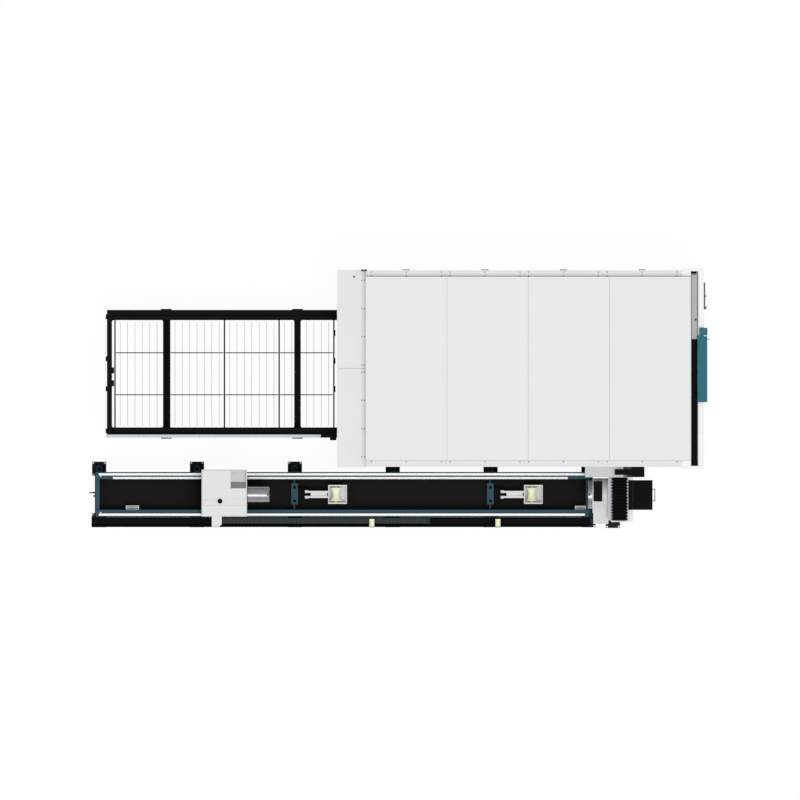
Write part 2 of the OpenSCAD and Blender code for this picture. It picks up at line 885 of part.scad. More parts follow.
module selector_knob() {
    color("Black") {
        rod_x(wall_x1 + 3, wall_x1 + panel_d + 8, panel_y, button_z, stop_d);
        rod_x(wall_x1 + panel_d + 1, wall_x1 + panel_d + 8, panel_y, button_z, stop_d + 10);
        block([wall_x1 + panel_d + 8 - weld, panel_y - 4, button_z - 15],
              [wall_x1 + panel_d + 18, panel_y + 4, button_z + 15]);
    }
}

module screw(x, y, z) {
    difference() {
        rod_z(x, y, z, z + 6, 14);
        translate([x, y, z + 3])
            cylinder(h = 4, d = 8, $fn = 6);
    }
}

module cover_screws() {
    color("Silver") {
        for (n = [0 : 3], m = [-1 : 1]) {
            x = side_x0 + (n + 0.5) * side_panel_l + m * 490;
            for (y = [body_y1 - 24, roof_y1 + 12, body_y0 + 70])
                screw(x, y, ledge_top);
        }
        for (x = [roof_x0 - 55, roof_x0 - 16], m = [0 : 3], s = [-1, 1])
            screw(x, cabin_y + s * (50 + m * 395.5), hood_top);
    }
}

// Sheet machine

// one side of the two-level tracks, between two positions along the machine
module track_side(x0, x1) {
    for (z = [track_low, track_high]) {
        tube_along_x([x0, table_y + beam_in, z + beam_h / 2 - beam_h + 10],
                     [x1, table_y + beam_out, z + beam_h / 2 + 10], beam_t);
        block([x0, table_y + field_w / 2 - 4, z - track_t], [x1, table_y + beam_in + weld, z]);
    }
}

module track_post(x0, x1, z0) {
    block([x0, table_y + beam_in, z0], [x1, table_y + beam_out, track_low - beam_h / 2 + 10 + weld]);
    block([x0, table_y + beam_in, track_low + beam_h / 2 + 10 - weld],
          [x1, table_y + beam_out, track_high - beam_h / 2 + 10 + weld]);
}

module machine_bed() {
    x0 = table_x1;
    x1 = pallet_x1 + pallet_travel + 120;
    bed_x0 = roof_x0 + 50;
    color("SlateGrey") {
        both_sides(table_y) {
            track_side(x0, x1);
            for (x = [bed_x0 + 40, (bed_x0 + bed_x1) / 2, x1 - cross_w])
                track_post(x, x + cross_w, 0);
            tube_along_x([bed_x0, table_y + gantry_y - bed_beam_w / 2, bed_top - bed_beam_h],
                         [bed_x1, table_y + gantry_y + bed_beam_w / 2, bed_top], beam_t);
            for (x = [bed_x0, (bed_x0 + bed_x1) / 2, bed_x1 - bed_beam_w])
                block([x, table_y + gantry_y - bed_beam_w / 2, 0],
                      [x + bed_beam_w, table_y + gantry_y + bed_beam_w / 2, bed_top - bed_beam_h + weld]);
        }
        for (x = [bed_x0 + 40, (bed_x0 + bed_x1) / 2, x1 - cross_w])
            block([x, table_y - gantry_y, bed_top - bed_beam_h + 30],
                  [x + cross_w, table_y + gantry_y, bed_top - bed_beam_h + 120]);
    }
}

module x_rails() {
    x0 = roof_x0 + 60;
    x1 = bed_x1 - 10;
    color("Silver")
        both_sides(table_y) {
            block([x0, table_y + gantry_y - x_rail_w / 2, bed_top],
                  [x1, table_y + gantry_y + x_rail_w / 2, bed_top + x_rail_h]);
            block([x0, table_y + gantry_y - bed_beam_w / 2, bed_top],
                  [x1, table_y + gantry_y - bed_beam_w / 2 + rack_w, bed_top + rack_w]);
        }
}

module bearing_block(x, y) {
    difference() {
        block([x - 60, y - 45, bed_top + 5], [x + 60, y + 45, gantry_foot_z + weld]);
        block([x - 61, y - x_rail_w / 2 - bearing_gap, bed_top],
              [x + 61, y + x_rail_w / 2 + bearing_gap, bed_top + x_rail_h + bearing_gap]);
    }
}

module gantry_end() {
    y = table_y + gantry_y;
    for (x = [-1, 1])
        bearing_block(gantry_x + x * (gantry_foot_l / 2 - 70), y);
    block([gantry_x - gantry_foot_l / 2, y - 60, gantry_foot_z],
          [gantry_x + gantry_foot_l / 2, y + 60, gantry_foot_z + 60]);
    block([gantry_x - gantry_w / 2, y - 60, gantry_foot_z],
          [gantry_x + gantry_w / 2, y + 60, gantry_z + weld]);
    rod_z(gantry_x, y - bed_beam_w / 2 + rack_w + 0.5 + 14, bed_top + 4, gantry_foot_z + weld, 28);
    rod_z(gantry_x, y + 110, gantry_foot_z + 100, gantry_foot_z + 300, 110);
    block([gantry_x - 60, y + 50, gantry_foot_z + 40],
          [gantry_x + 60, y + 165, gantry_foot_z + 100 + weld]);
}

module gantry_beam() {
    color("SteelBlue")
        both_sides(table_y)
            gantry_end();
    color("SteelBlue")
        tube_along_y([gantry_x - gantry_w / 2, table_y - gantry_y - 60, gantry_z],
                     [gantry_x + gantry_w / 2, table_y + gantry_y + 60, gantry_z + gantry_w], beam_t);
    color("Silver")
        for (z = [gantry_z + 30, gantry_z + gantry_w - 30 - y_rail_w])
            block([head_x, table_y - gantry_y + 50, z],
                  [head_x + y_rail_w + weld, table_y + gantry_y - 50, z + y_rail_w]);
}

carriage_t = 30;
slide_t = 40;
nozzle_l = 120;

module head_carriage() {
    x1 = head_x - 12;
    color("DarkSlateGrey") {
        block([x1 - carriage_t, table_y - head_w / 2, gantry_z - 60],
              [x1, table_y + head_w / 2, gantry_z + gantry_w + 100]);
        for (z = [gantry_z + 30, gantry_z + gantry_w - 30 - y_rail_w], y = [-1, 1])
            difference() {
                block([x1 - weld, table_y + y * 80 - 40, z - 15],
                      [head_x + y_rail_w - 4, table_y + y * 80 + 40, z + y_rail_w + 15]);
                block([head_x - bearing_gap, table_y + y * 80 - 41, z - bearing_gap],
                      [head_x + y_rail_w, table_y + y * 80 + 41, z + y_rail_w + bearing_gap]);
            }
        for (y = [-1, 1])
            block([x1 - carriage_t - 14, table_y + y * 70 - 12, gantry_z - 50],
                  [x1 - carriage_t + weld, table_y + y * 70 + 12, gantry_z + gantry_w + 90]);
        block([x1 - carriage_t - 80, table_y - 50, gantry_z + gantry_w + 100 - weld],
              [x1, table_y + 50, gantry_z + gantry_w + 260]);
    }
}

module cutting_head() {
    x1 = head_x - 12 - carriage_t - 14;
    hx = x1 - slide_t - head_d / 2 + 4;
    color("LightGrey") {
        difference() {
            block([x1 - slide_t, table_y - 95, gantry_z + 20], [x1 + 10, table_y + 95, gantry_z + 290]);
            for (y = [-1, 1])
                block([x1 - bearing_gap, table_y + y * 70 - 12 - bearing_gap, gantry_z + 19],
                      [x1 + 11, table_y + y * 70 + 12 + bearing_gap, gantry_z + 291]);
        }
        rod_z(hx, table_y, nozzle_z + nozzle_l - weld, gantry_z + 320, head_d);
    }
    color("DarkGoldenrod")
        translate([hx, table_y, nozzle_z])
            rotate_extrude()
                polygon([[3, 0], [8, 0], [22, 34], [22, nozzle_l], [3, nozzle_l]]);
}

// Shuttle table

module cross_beam(x) {
    z1 = track_low - track_t - 6;
    block([x, table_y - beam_in - weld, z1 - beam_h], [x + cross_w, table_y + beam_in + weld, z1]);
    for (s = [-1, 1], side = [0, 1])
        translate([x + (side == 0 ? 0 : cross_w), table_y + s * beam_in, z1 - beam_h])
            mirror([side == 0 ? 1 : 0, 0, 0])
                mirror([0, s > 0 ? 1 : 0, 0])
                    linear_extrude(track_low - track_t - z1 + beam_h - 6)
                        difference() {
                            square(gusset_r);
                            translate([gusset_r, gusset_r])
                                circle(r = gusset_r);
                        }
}

module foot_plate(x) {
    difference() {
        block([x + cross_w / 2 - foot_l / 2, table_y + beam_in - foot_proud, 0],
              [x + cross_w / 2 + foot_l / 2, table_y + beam_out + foot_proud, foot_t]);
        for (s = [-1, 1])
            rod_z(x + cross_w / 2 + s * anchor_pitch / 2, table_y + (beam_in + beam_out) / 2, -1,
                  foot_t + 1, anchor_d);
    }
}

module shuttle_frame() {
    end_w = 71;
    color("Black") {
        both_sides(table_y) {
            track_side(table_x, table_x1);
            for (x = [table_x, cross_x1, cross_x2, table_x1 - end_w])
                track_post(x, x + (x == cross_x1 || x == cross_x2 ? cross_w : end_w), 0);
            for (x = [cross_x1, cross_x2])
                foot_plate(x);
        }
        for (x = [cross_x1, cross_x2])
            cross_beam(x);
        for (z = [track_low, track_high])
            block([table_x, table_y - beam_in - weld, z - beam_h / 2 + 10],
                  [table_x + end_w, table_y + beam_in + weld, z + beam_h / 2 + 10]);
        for (y = [-800, -210, 210, 800])
            block([table_x - 17, table_y + y - 35, track_high - 20],
                  [table_x + weld, table_y + y + 35, track_high + 50]);
        for (y = [-175, 5])
            block([table_x + end_w - weld, table_y + y, track_high + 20],
                  [pallet_x - rib_t / 2 - 3, table_y + y + 85, track_high + 60]);
        block([table_x1 - 218, table_y - beam_out, track_high + beam_h / 2 + 10 - weld],
              [table_x1, table_y - beam_out + strip_w, track_high + beam_h / 2 + 10 + strip_t]);
        rod_y(table_x1 - 47, table_y - beam_out - 37, table_y - beam_in - 10,
              (track_low + track_high) / 2 + 10, 90);
    }
}

module shuttle_strip() {
    z0 = track_high + beam_h / 2 + 10;
    color("LightSteelBlue") {
        block([table_x - 17, table_y - beam_out, z0],
              [table_x1 - 220, table_y - beam_out + strip_w, z0 + strip_t]);
        for (x = strip_studs)
            rod_z(table_x + x, table_y - beam_out + strip_w / 2, z0 + strip_t - weld, z0 + strip_t + 10,
                  20);
    }
    color("White")
        block([table_x - 20, table_y - beam_in, track_high - beam_h / 2],
              [table_x - 17, table_y + beam_in, track_high + 50]);
}

module pallet_wheel(x, z) {
    yc = table_y + field_w / 2 + pallet_rail_w / 2;
    rod_y(x, yc - 16, yc + 16, z + run_gap + wheel_d / 2, wheel_d);
    rod_y(x, table_y + field_w / 2 + 1, table_y + pallet_out - 1, z + run_gap + wheel_d / 2, 16);
}

// side rails, ribs, comb bars and wheels of a pallet whose left rib is at x0, on a track of height z
module pallet_frame(x0, z) {
    z0 = z + ride_h;
    z1 = z0 + pallet_rail_h;
    x1 = x0 + 4 * bay_l;
    both_sides(table_y) {
        difference() {
            block([x0 - rib_t, table_y + field_w / 2, z0], [x1 + rib_t, table_y + pallet_out, z1]);
            block([x0 - rib_t - 1, table_y + field_w / 2 + pallet_rail_t, z0 - 1],
                  [x1 + rib_t + 1, table_y + pallet_out - pallet_rail_t, z1 - pallet_rail_t]);
        }
        for (n = [0 : 3])
            pallet_wheel(x0 + (n + 0.5) * bay_l, z);
        block([x0, table_y + comb_y - comb_t / 2, z0 + 20],
              [x1, table_y + comb_y + comb_t / 2, z0 + 20 + comb_h]);
    }
    for (n = [0 : 4])
        block([x0 + n * bay_l - rib_t / 2, table_y - field_w / 2 - weld, z0 + 5],
              [x0 + n * bay_l + rib_t / 2, table_y + field_w / 2 + weld, z1 - 2]);
    for (y = [-255, 137, 529])
        block([x1 + rib_t / 2 - weld, table_y + y, z0 + 20],
              [x1 + rib_t / 2 + 12, table_y + y + 84, z1 - 10]);
}

// the outline of one slat: teeth on top, slots for the two comb bars below
module slat_outline() {
    tooth = slat_l / slat_teeth;
    slot = comb_t / 2 + slot_gap;
    difference() {
        union() {
            translate([-slat_l / 2, 0])
                square([slat_l, slat_h - tooth_h + weld]);
            for (n = [0 : slat_teeth - 1])
                translate([-slat_l / 2 + n * tooth, slat_h - tooth_h])
                    polygon([[0, 0], [tooth, 0], [tooth / 2 + 3, tooth_h], [tooth / 2 - 3, tooth_h]]);
        }
        for (y = [-comb_y, comb_y])
            translate([y - slot, -1])
                square([2 * slot, 41]);
    }
}

module pallet_slats(x0, z) {
    slat_z = z + ride_h + 20 + comb_h - 40;
    for (n = [0 : 3], m = [0 : 6])
        translate([x0 + n * bay_l + slat_x0 + m * slat_pitch - slat_t / 2, table_y, slat_z])
            rotate([90, 0, 90])
                linear_extrude(slat_t)
                    slat_outline();
}

module upper_pallet() {
    color("Black")
        pallet_frame(pallet_x, track_high);
}

module upper_slats() {
    color("DimGrey")
        pallet_slats(pallet_x, track_high);
}

module lower_pallet() {
    color("Black")
        pallet_frame(pallet_x + pallet_travel, track_low);
}

module lower_slats() {
    color("DimGrey")
        pallet_slats(pallet_x + pallet_travel, track_low);
}

// Tube bed

collar_z = plate_t + 20;
collar_h = 40;

feet = floor((tube_l - foot_start) / foot_pitch);

function foot_x(n) = tube_x + foot_start + n * foot_pitch;

module leg(n) {
    x = foot_x(n);
    y0 = tube_y + t_beam_in;
    block([x - leg_l / 2, y0, plate_t],
          [x + leg_l / 2, tube_y + tube_w / 2, tube_top - tube_beam_h + weld]);
    difference() {
        union() {
            rod_z(x, tube_y + plate_y, collar_z, collar_z + collar_h, collar_d);
            block([x - collar_d / 2 + 8, tube_y + tube_w / 2 - weld, collar_z],
                  [x + collar_d / 2 - 8, tube_y + plate_y, collar_z + collar_h]);
        }
        rod_z(x, tube_y + plate_y, collar_z - 1, collar_z + collar_h + 1, level_d + 2 * level_gap);
    }
}

module tube_bed() {
    color("DarkSlateGrey") {
        both_sides(tube_y) {
            tube_along_x([tube_x, tube_y + t_beam_in, tube_top - tube_beam_h],
                         [tube_x1, tube_y + tube_w / 2, tube_top], beam_t);
            for (n = [0 : feet])
                leg(n);
        }
        for (x = [tube_x, tube_x1 - tube_end_w])
            block([x, tube_y - t_beam_in - weld, tube_top - tube_beam_h],
                  [x + tube_end_w, tube_y + t_beam_in + weld, tube_top - 30]);
        for (n = [0 : feet])
            block([foot_x(n) - leg_l / 2, tube_y - t_beam_in - weld, pan_z - cross_h],
                  [foot_x(n) + leg_l / 2, tube_y + t_beam_in + weld, pan_z]);
        for (y = [-22, 24])
            rod_x(tube_x - 34, tube_x + weld, tube_y + y, tube_top - 90, 24);
        rod_x(tube_x - 88, tube_x - 34 + weld, tube_y + 24, tube_top - 90, 16);
    }
}

module bed_pan() {
    x0 = tube_x + tube_end_w;
    x1 = tube_x1 - tube_end_w;
    color("Black") {
        block([x0, tube_y - t_beam_in, pan_z], [x1, tube_y + t_beam_in, pan_z + sheet_t]);
        both_sides(tube_y)
            block([x0, tube_y + t_beam_in - sheet_t, pan_z], [x1, tube_y + t_beam_in, pan_z + pan_wall]);
    }
}

module rack_outline(l) {
    n = floor(l / rack_pitch);
    square([l, 14]);
    for (k = [0 : n - 1])
        translate([k * rack_pitch, 14 - weld])
            polygon([[2, 0], [rack_pitch - 2, 0], [rack_pitch - 7, 9], [7, 9]]);
}

module tube_rails() {
    color("Silver") {
        both_sides(tube_y)
            block([tube_x + 46, tube_y + t_rail_y - t_rail_w / 2, tube_top],
                  [tube_x1 - 70, tube_y + t_rail_y + t_rail_w / 2, tube_top + t_rail_h]);
        translate([tube_x + 241, tube_y + rack_in + t_rack_w, tube_top])
            rotate([90, 0, 0])
                linear_extrude(t_rack_w)
                    rack_outline(tube_l - 550);
    }
    color("Khaki")
        for (s = [-1, 1])
            rod_x(tube_x + 60, tube_x + 85, tube_y + s * (t_rail_y - 26), tube_top + 11, 22);
}

module anchor_bolt(x, y) {
    translate([x, y, plate_t])
        cylinder(h = 14, d = 30, $fn = 6);
    rod_z(x, y, plate_t + 14 - weld, plate_t + 26, 16);
}

module foot(x, y) {
    block([x - plate_w / 2, y - plate_w / 2, 0], [x + plate_w / 2, y + plate_w / 2, plate_t]);
    for (a = [-1, 1], b = [-1, 1])
        anchor_bolt(x + a * (plate_w / 2 - bolt_in), y + b * (plate_w / 2 - bolt_in));
}

module tube_feet() {
    color("DimGrey") {
        for (n = [0 : feet], s = [-1, 1]) {
            foot(foot_x(n), tube_y + s * plate_y);
            rod_z(foot_x(n), tube_y + s * plate_y, plate_t - weld, collar_z + collar_h + 35, level_d);
            translate([foot_x(n), tube_y + s * plate_y, collar_z + collar_h])
                cylinder(h = 24, d = level_d + 20, $fn = 6);
        }
        foot(chamber_x + 24, tube_y - plate_y - 10);
    }
}

// Chain tray, chain and loading rollers

module load_axle(x) {
    block([x - 30, tray_y0 - 4, tray_z + 20], [x + 30, tray_y0 + weld, load_z + 24]);
    rod_y(x, tray_y0 - 2, tray_y0 + load_l + 3, load_z, pin_d - 4);
}

module chain_tray() {
    x0 = tube_x - 57;
    color("Black") {
        block([x0, tray_y0, tray_z - sheet_t], [tube_x1 - 10, tray_y1, tray_z]);
        block([x0, tray_y0, tray_z - sheet_t], [tube_x1 - 10, tray_y0 + sheet_t, tray_z + tray_wall]);
        block([x0, tray_y1 - sheet_t, tray_z - sheet_t], [tube_x1 - 10, tray_y1, tray_z + tray_wall]);
        for (n = [0 : feet])
            block([foot_x(n) - 30, tray_y0 + 20, tray_z - 40],
                  [foot_x(n) + 30, tray_y1 + 1, tray_z - sheet_t + weld]);
        load_axle(load_x1);
        load_axle(load_x2);
    }
}

arm_x0 = carriage_x + 143;
pinion_d = 80;

module chain_outline() {
    cx = chain_x1 - chain_r;
    n = floor((cx - arm_x0) / link_pitch);
    m = floor((cx - chain_x0) / link_pitch);
    difference() {
        union() {
            translate([arm_x0, 2 * chain_r - chain_h])
                square([cx - arm_x0, chain_h]);
            translate([chain_x0, 0])
                square([cx - chain_x0, chain_h]);
            difference() {
                translate([cx, chain_r])
                    circle(r = chain_r);
                translate([cx, chain_r])
                    circle(r = chain_r - chain_h);
                translate([cx - 2 * chain_r, -1])
                    square([2 * chain_r, 4 * chain_r]);
            }
        }
        for (k = [1 : n])
            translate([cx - k * link_pitch, 2 * chain_r - 10])
                square([4, 11]);
        for (k = [1 : m])
            translate([cx - k * link_pitch, 8])
                square([4, chain_h]);
    }
}

module drag_chain() {
    color("DimGrey")
        translate([0, chain_y1, tray_z])
            rotate([90, 0, 0])
                linear_extrude(chain_w)
                    chain_outline();
}

module loading_roller(x) {
    y0 = tray_y0 + 6;
    color("Wheat")
        difference() {
            rod_y(x, y0, y0 + load_l, load_z, load_d);
            rod_y(x, y0 - 1, y0 + load_l + 1, load_z, pin_d - 4 + 2 * pin_gap);
        }
}

module loading_roller_1() {
    loading_roller(load_x1);
}

module loading_roller_2() {
    loading_roller(load_x2);
}

// Rear chuck

module carriage_bearing(x) {
    difference() {
        block([x - 60, tube_y + t_rail_y - 22, tube_top + 4],
              [x + 60, tube_y + t_rail_y + 22, cover_z + 10 + weld]);
        block([x - 61, tube_y + t_rail_y - t_rail_w / 2 - bearing_gap, tube_top],
              [x + 61, tube_y + t_rail_y + t_rail_w / 2 + bearing_gap, tube_top + t_rail_h + bearing_gap]);
    }
}

module carriage_base() {
    x0 = carriage_x + 20;
    x1 = carriage_x1 - 20;
    leg_in = tunnel_y + 25;
    leg_out = tube_w / 2 - 14;
    color("SlateGrey") {
        both_sides(tube_y) {
            for (x = [x0 + 70, x1 - 70])
                carriage_bearing(x);
            block([x0, tube_y + leg_in, cover_z + 10], [x1, tube_y + leg_out, tunnel_z + weld]);
        }
        difference() {
            block([x0, tube_y - cover_front + sheet_t, tunnel_z],
                  [x1, tube_y + cover_rear - sheet_t, tunnel_z + 30]);
            rod_x(x0 - 1, x1 + 1, tube_y, tube_z, spindle_d + 2 * spindle_gap);
        }
        difference() {
            block([x0 + 60, tube_y - 110, tunnel_z + 20], [x1, tube_y + 110, tube_z + 120]);
            rod_x(x0 - 1, x1 + 1, tube_y, tube_z, spindle_d + 2 * spindle_gap);
        }
        rod_x(x0 + 90, x1 - 160, tube_y - 190, tunnel_z + 30 + 75, 130);
        block([x1 - 160 - weld, tube_y - 260, tunnel_z + 30 - weld], [x1 - 60, tube_y - 109, tube_z + 120]);
        rod_z(x0 + 130, tube_y + rack_in - 20, tunnel_z + 29, tunnel_z + 200, 120);
        rod_y((x0 + x1) / 2, tube_y + rack_in, tube_y + rack_in + t_rack_w, tube_top + 24 + pinion_d / 2,
              pinion_d);
    }
}

// the cover's outline across the tube, with bevelled upper edges
module cover_section() {
    polygon([[-cover_front, cover_z], [cover_rear, cover_z], [cover_rear, cover_top - cover_bevel],
             [cover_rear - cover_bevel, cover_top], [-cover_front + cover_bevel, cover_top],
             [-cover_front, cover_top - cover_bevel]]);
}

// the cover's outline along the tube
module cover_side() {
    polygon([[carriage_x, cover_z - 1], [carriage_x1, cover_z - 1], [carriage_x1, cover_top - cover_bevel],
             [carriage_x1 - cover_bevel, cover_top], [carriage_x + cover_bevel, cover_top],
             [carriage_x, cover_top - cover_bevel]]);
}

module cover_body() {
    intersection() {
        translate([carriage_x - 1, tube_y, 0])
            rotate([90, 0, 90])
                linear_extrude(carriage_l + 2)
                    cover_section();
        translate([0, tube_y + cover_rear + 1, 0])
            rotate([90, 0, 0])
                linear_extrude(cover_rear + cover_front + 2)
                    cover_side();
    }
}

notch_x = carriage_x1 - 228;
notch_d = 90;

// the pocket in the cover's top: a floor at the rear and a slope up to the top at the front
module cover_notch(grow) {
    translate([notch_x - grow, tube_y, 0])
        rotate([90, 0, 90])
            linear_extrude(carriage_x1 - 14 - notch_x + 2 * grow)
                polygon([[84 - grow, cover_top + 1], [176 - grow, cover_top - notch_d - grow],
                         [cover_rear - 21 + grow, cover_top - notch_d - grow],
                         [cover_rear - 21 + grow, cover_top + 1]]);
}

band_y0 = tube_y - 156;
band_y1 = tube_y - 55;

module carriage_cover() {
    color("White") {
        difference() {
            cover_body();
            difference() {
                block([carriage_x + sheet_t, tube_y - cover_front + sheet_t, cover_z - 1],
                      [carriage_x1 - sheet_t, tube_y + cover_rear - sheet_t,
                      cover_top - cover_bevel - sheet_t]);
                cover_notch(sheet_t);
            }
            cover_notch(0);
            block([carriage_x + 24, band_y0, cover_top - 8], [carriage_x1 - 28, band_y1, cover_top + 1]);
            block([carriage_x - 1, tube_y - tunnel_y, cover_z - 1],
                  [carriage_x1 + 1, tube_y + tunnel_y, tunnel_z - 1]);
            rod_x(carriage_x1 - sheet_t - 1, carriage_x1 + 1, tube_y, tube_z, spindle_d + 20);
        }
        for (x = [65, 163])
            rod_z(carriage_x + x, tube_y - 95, cover_top - 8 - weld, cover_top + 4, 24);
        rod_z(carriage_x + 258, tube_y - 95, cover_top - 8 - weld, cover_top + 10, 66);
        chain_arm();
    }
}

// plate over the tray, with a thin drop plate that passes behind the loading rollers to the end of the chain
module chain_arm() {
    y0 = tube_y - cover_front;
    difference() {
        block([arm_x0, y0 - arm_reach, cover_z + 10], [arm_x0 + arm_w, y0 + weld + 1, cover_z + 22]);
        translate([arm_x0 + arm_w, y0 - arm_reach, cover_z])
            rotate([0, 0, 45])
                cube([50, 50, 100], center = true);
    }
    block([arm_x0, tray_y1 - 10, tray_z + 2 * chain_r], [arm_x0 + arm_w, tray_y1 - 4, cover_z + 10 + weld]);
    block([arm_x0, chain_y1 - chain_w, tray_z + 2 * chain_r],
          [arm_x0 + arm_w, tray_y1 - 4, tray_z + 2 * chain_r + 8]);
}

module jaw_slot(a, x0, x1, r) {
    translate([0, tube_y, tube_z])
        rotate([a, 0, 0])
            block([x0, 0, -jaw_w / 2 - jaw_gap], [x1, r, jaw_w / 2 + jaw_gap]);
}

jaw_top = nose_d / 2 - 6;
jaw_tip = 45;

module rear_chuck() {
    color("Silver")
        difference() {
            union() {
                rod_x(carriage_x + 90, nose_x0 + weld, tube_y, tube_z, spindle_d);
                rod_x(nose_x0, nose_x1, tube_y, tube_z, nose_d);
            }
            rod_x(nose_x0 + 60, nose_x1 + 1, tube_y, tube_z, nose_bore);
            for (a = [0 : 90 : 270])
                jaw_slot(a, nose_x1 - 30, nose_x1 + 1, nose_d);
        }
}

// a jaw that stands in the slot of a chuck's face
module jaw(a, x0, x1, tip, top) {
    translate([0, tube_y, tube_z])
        rotate([a, 0, 0]) {
            block([x0, tip + 20, -jaw_w / 2], [x1, top, jaw_w / 2]);
            block([x0, tip, -jaw_w / 2 + 8], [x1, tip + 21, jaw_w / 2 - 8]);
        }
}

module rear_jaw(a) {
    color("DimGrey")
        jaw(a, nose_x1 - 30 + jaw_gap, nose_x1 - 30 + jaw_gap + jaw_l, jaw_tip, jaw_top);
}

module rear_jaw_1() {
    rear_jaw(0);
}

module rear_jaw_2() {
    rear_jaw(90);
}

module rear_jaw_3() {
    rear_jaw(180);
}

module rear_jaw_4() {
    rear_jaw(270);
}

// Tube supports

arm_rise = atan((roller_z - pivot_z) / arm_l);

module support_bracket(x) {
    z = pivot_z - 60;
    color("DarkSlateGrey") {
        difference() {
            block([x - 213, tube_y - 140, z], [x - 119, tube_y + 157, z + 16]);
            for (y = [-90, 100])
                rod_z(x - 166, tube_y + y, z - 1, z + 17, 40);
        }
        both_sides(tube_y)
            block([x - 180, tube_y + 139, z], [x - 160, tube_y + t_beam_in - sheet_t, z + 16]);
        block([x - 180, tube_y - 30, pan_z + sheet_t], [x - 60, tube_y + 30, z + 16]);
    }
    color("SlateGrey") {
        block([x - 120 - weld, tube_y - 90, z], [x + 30, tube_y + 90, z + 16]);
        both_sides(tube_y)
            block([x - 30, tube_y + 62, z], [x + 30, tube_y + 80, pivot_z + 30]);
        rod_y(x, tube_y - 80, tube_y + 80, pivot_z, pin_d);
    }
}

module support_brackets() {
    support_bracket(pivot_x);
    support_bracket(pivot_x + support_pitch);
}

module support_arm(x) {
    rx = x + arm_l;
    color("White") {
        difference() {
            union() {
                both_sides(tube_y) {
                    rod_y(x, tube_y + 20, tube_y + 58, pivot_z, pin_d + 26);
                    translate([x, tube_y, pivot_z])
                        rotate([0, -arm_rise, 0])
                            block([14, 22, -18], [arm_l - 100, 50, 18]);
                    block([rx - 109, tube_y + carrier_w / 2 - 18, roller_z - 40],
                          [rx - 109 + carrier_l, tube_y + carrier_w / 2, roller_z + 20]);
                }
                block([x + 60, tube_y - 24, pivot_z - 6], [x + 290, tube_y + 24, pivot_z + 14]);
                block([rx - 109, tube_y - carrier_w / 2, roller_z - 40], [rx - 97, tube_y + carrier_w / 2, roller_z + 20]);
                block([rx - 121 + carrier_l, tube_y - carrier_w / 2, roller_z - 40],
                      [rx - 109 + carrier_l, tube_y + carrier_w / 2, roller_z]);
            }
            rod_y(x, tube_y - 100, tube_y + 100, pivot_z, pin_d + 2 * pin_gap);
        }
        rod_y(rx, tube_y - carrier_w / 2 + 6, tube_y + carrier_w / 2 - 6, roller_z, pin_d);
    }
}

module support_arm_1() {
    support_arm(pivot_x);
}

module support_arm_2() {
    support_arm(pivot_x + support_pitch);
}

module support_roller(x) {
    color("Wheat")
        translate([x + arm_l, tube_y, roller_z])
            rotate([90, 0, 0])
                rotate_extrude()
                    difference() {
                        translate([pin_d / 2 + pin_gap, -roller_l / 2])
                            square([roller_d / 2 - pin_d / 2 - pin_gap, roller_l]);
                        translate([roller_d / 2 - groove_d + groove_r, 0])
                            circle(r = groove_r, $fn = 96);
                    }
}

module support_roller_1() {
    support_roller(pivot_x);
}

module support_roller_2() {
    support_roller(pivot_x + support_pitch);
}

// Front chuck

hub_d = 300;

module front_housing() {
    base_x = max(front_x, foot_x(feet) + leg_l / 2);
    color("Gainsboro")
        difference() {
            union() {
                rod_x(front_x, front_x1, tube_y, tube_z, 2 * front_r);
                block([front_x, tube_y - front_r, chamber_z], [front_x1, tube_y + front_r, tube_z]);
                block([base_x, tube_y - front_r, 0], [front_x1, tube_y + front_r, chamber_z + weld]);
                block([front_x + 14, tube_y - drive_y, chamber_z],
                      [front_x1 - 14, tube_y - front_r + 100, drive_top]);
            }
            rod_x(front_x - 1, front_x + 41, tube_y, tube_z, hub_d + 2 * hub_gap);
            rod_x(front_x, front_x1 + 1, tube_y, tube_z, passage_d);
        }
    color("Black")
        difference() {
            translate([front_x + 18, tube_y, 0])
                rotate([90, 0, 90])
                    linear_extrude(121)
                        polygon([[front_r - 40, tube_z + 60], [front_r - 40, tube_z + 262],
                                [-98, tube_z + 230], [-98, tube_z + 60]]);
            rod_x(front_x + 17, front_x + 140, tube_y, tube_z, 2 * front_r);
        }
}

module front_chuck() {
    color("Silver")
        difference() {
            union() {
                rod_x(front_x - 2 - front_t, front_x - 2, tube_y, tube_z, front_d);
                rod_x(front_x - 2 - weld, front_x + 40, tube_y, tube_z, hub_d);
            }
            rod_x(front_x - 3 - front_t, front_x + 41, tube_y, tube_z, passage_d);
            for (a = [0 : 90 : 270])
                jaw_slot(a, front_x - 3 - front_t, front_x - 2 - front_t + 30, front_d);
        }
}

module front_jaw(a) {
    x1 = front_x - 2 - front_t + 30 - jaw_gap;
    color("DimGrey")
        jaw(a, x1 - jaw_l, x1, 112, front_d / 2 - 12);
}

module front_jaw_1() {
    front_jaw(0);
}

module front_jaw_2() {
    front_jaw(90);
}

module front_jaw_3() {
    front_jaw(180);
}

module front_jaw_4() {
    front_jaw(270);
}

// Tube station

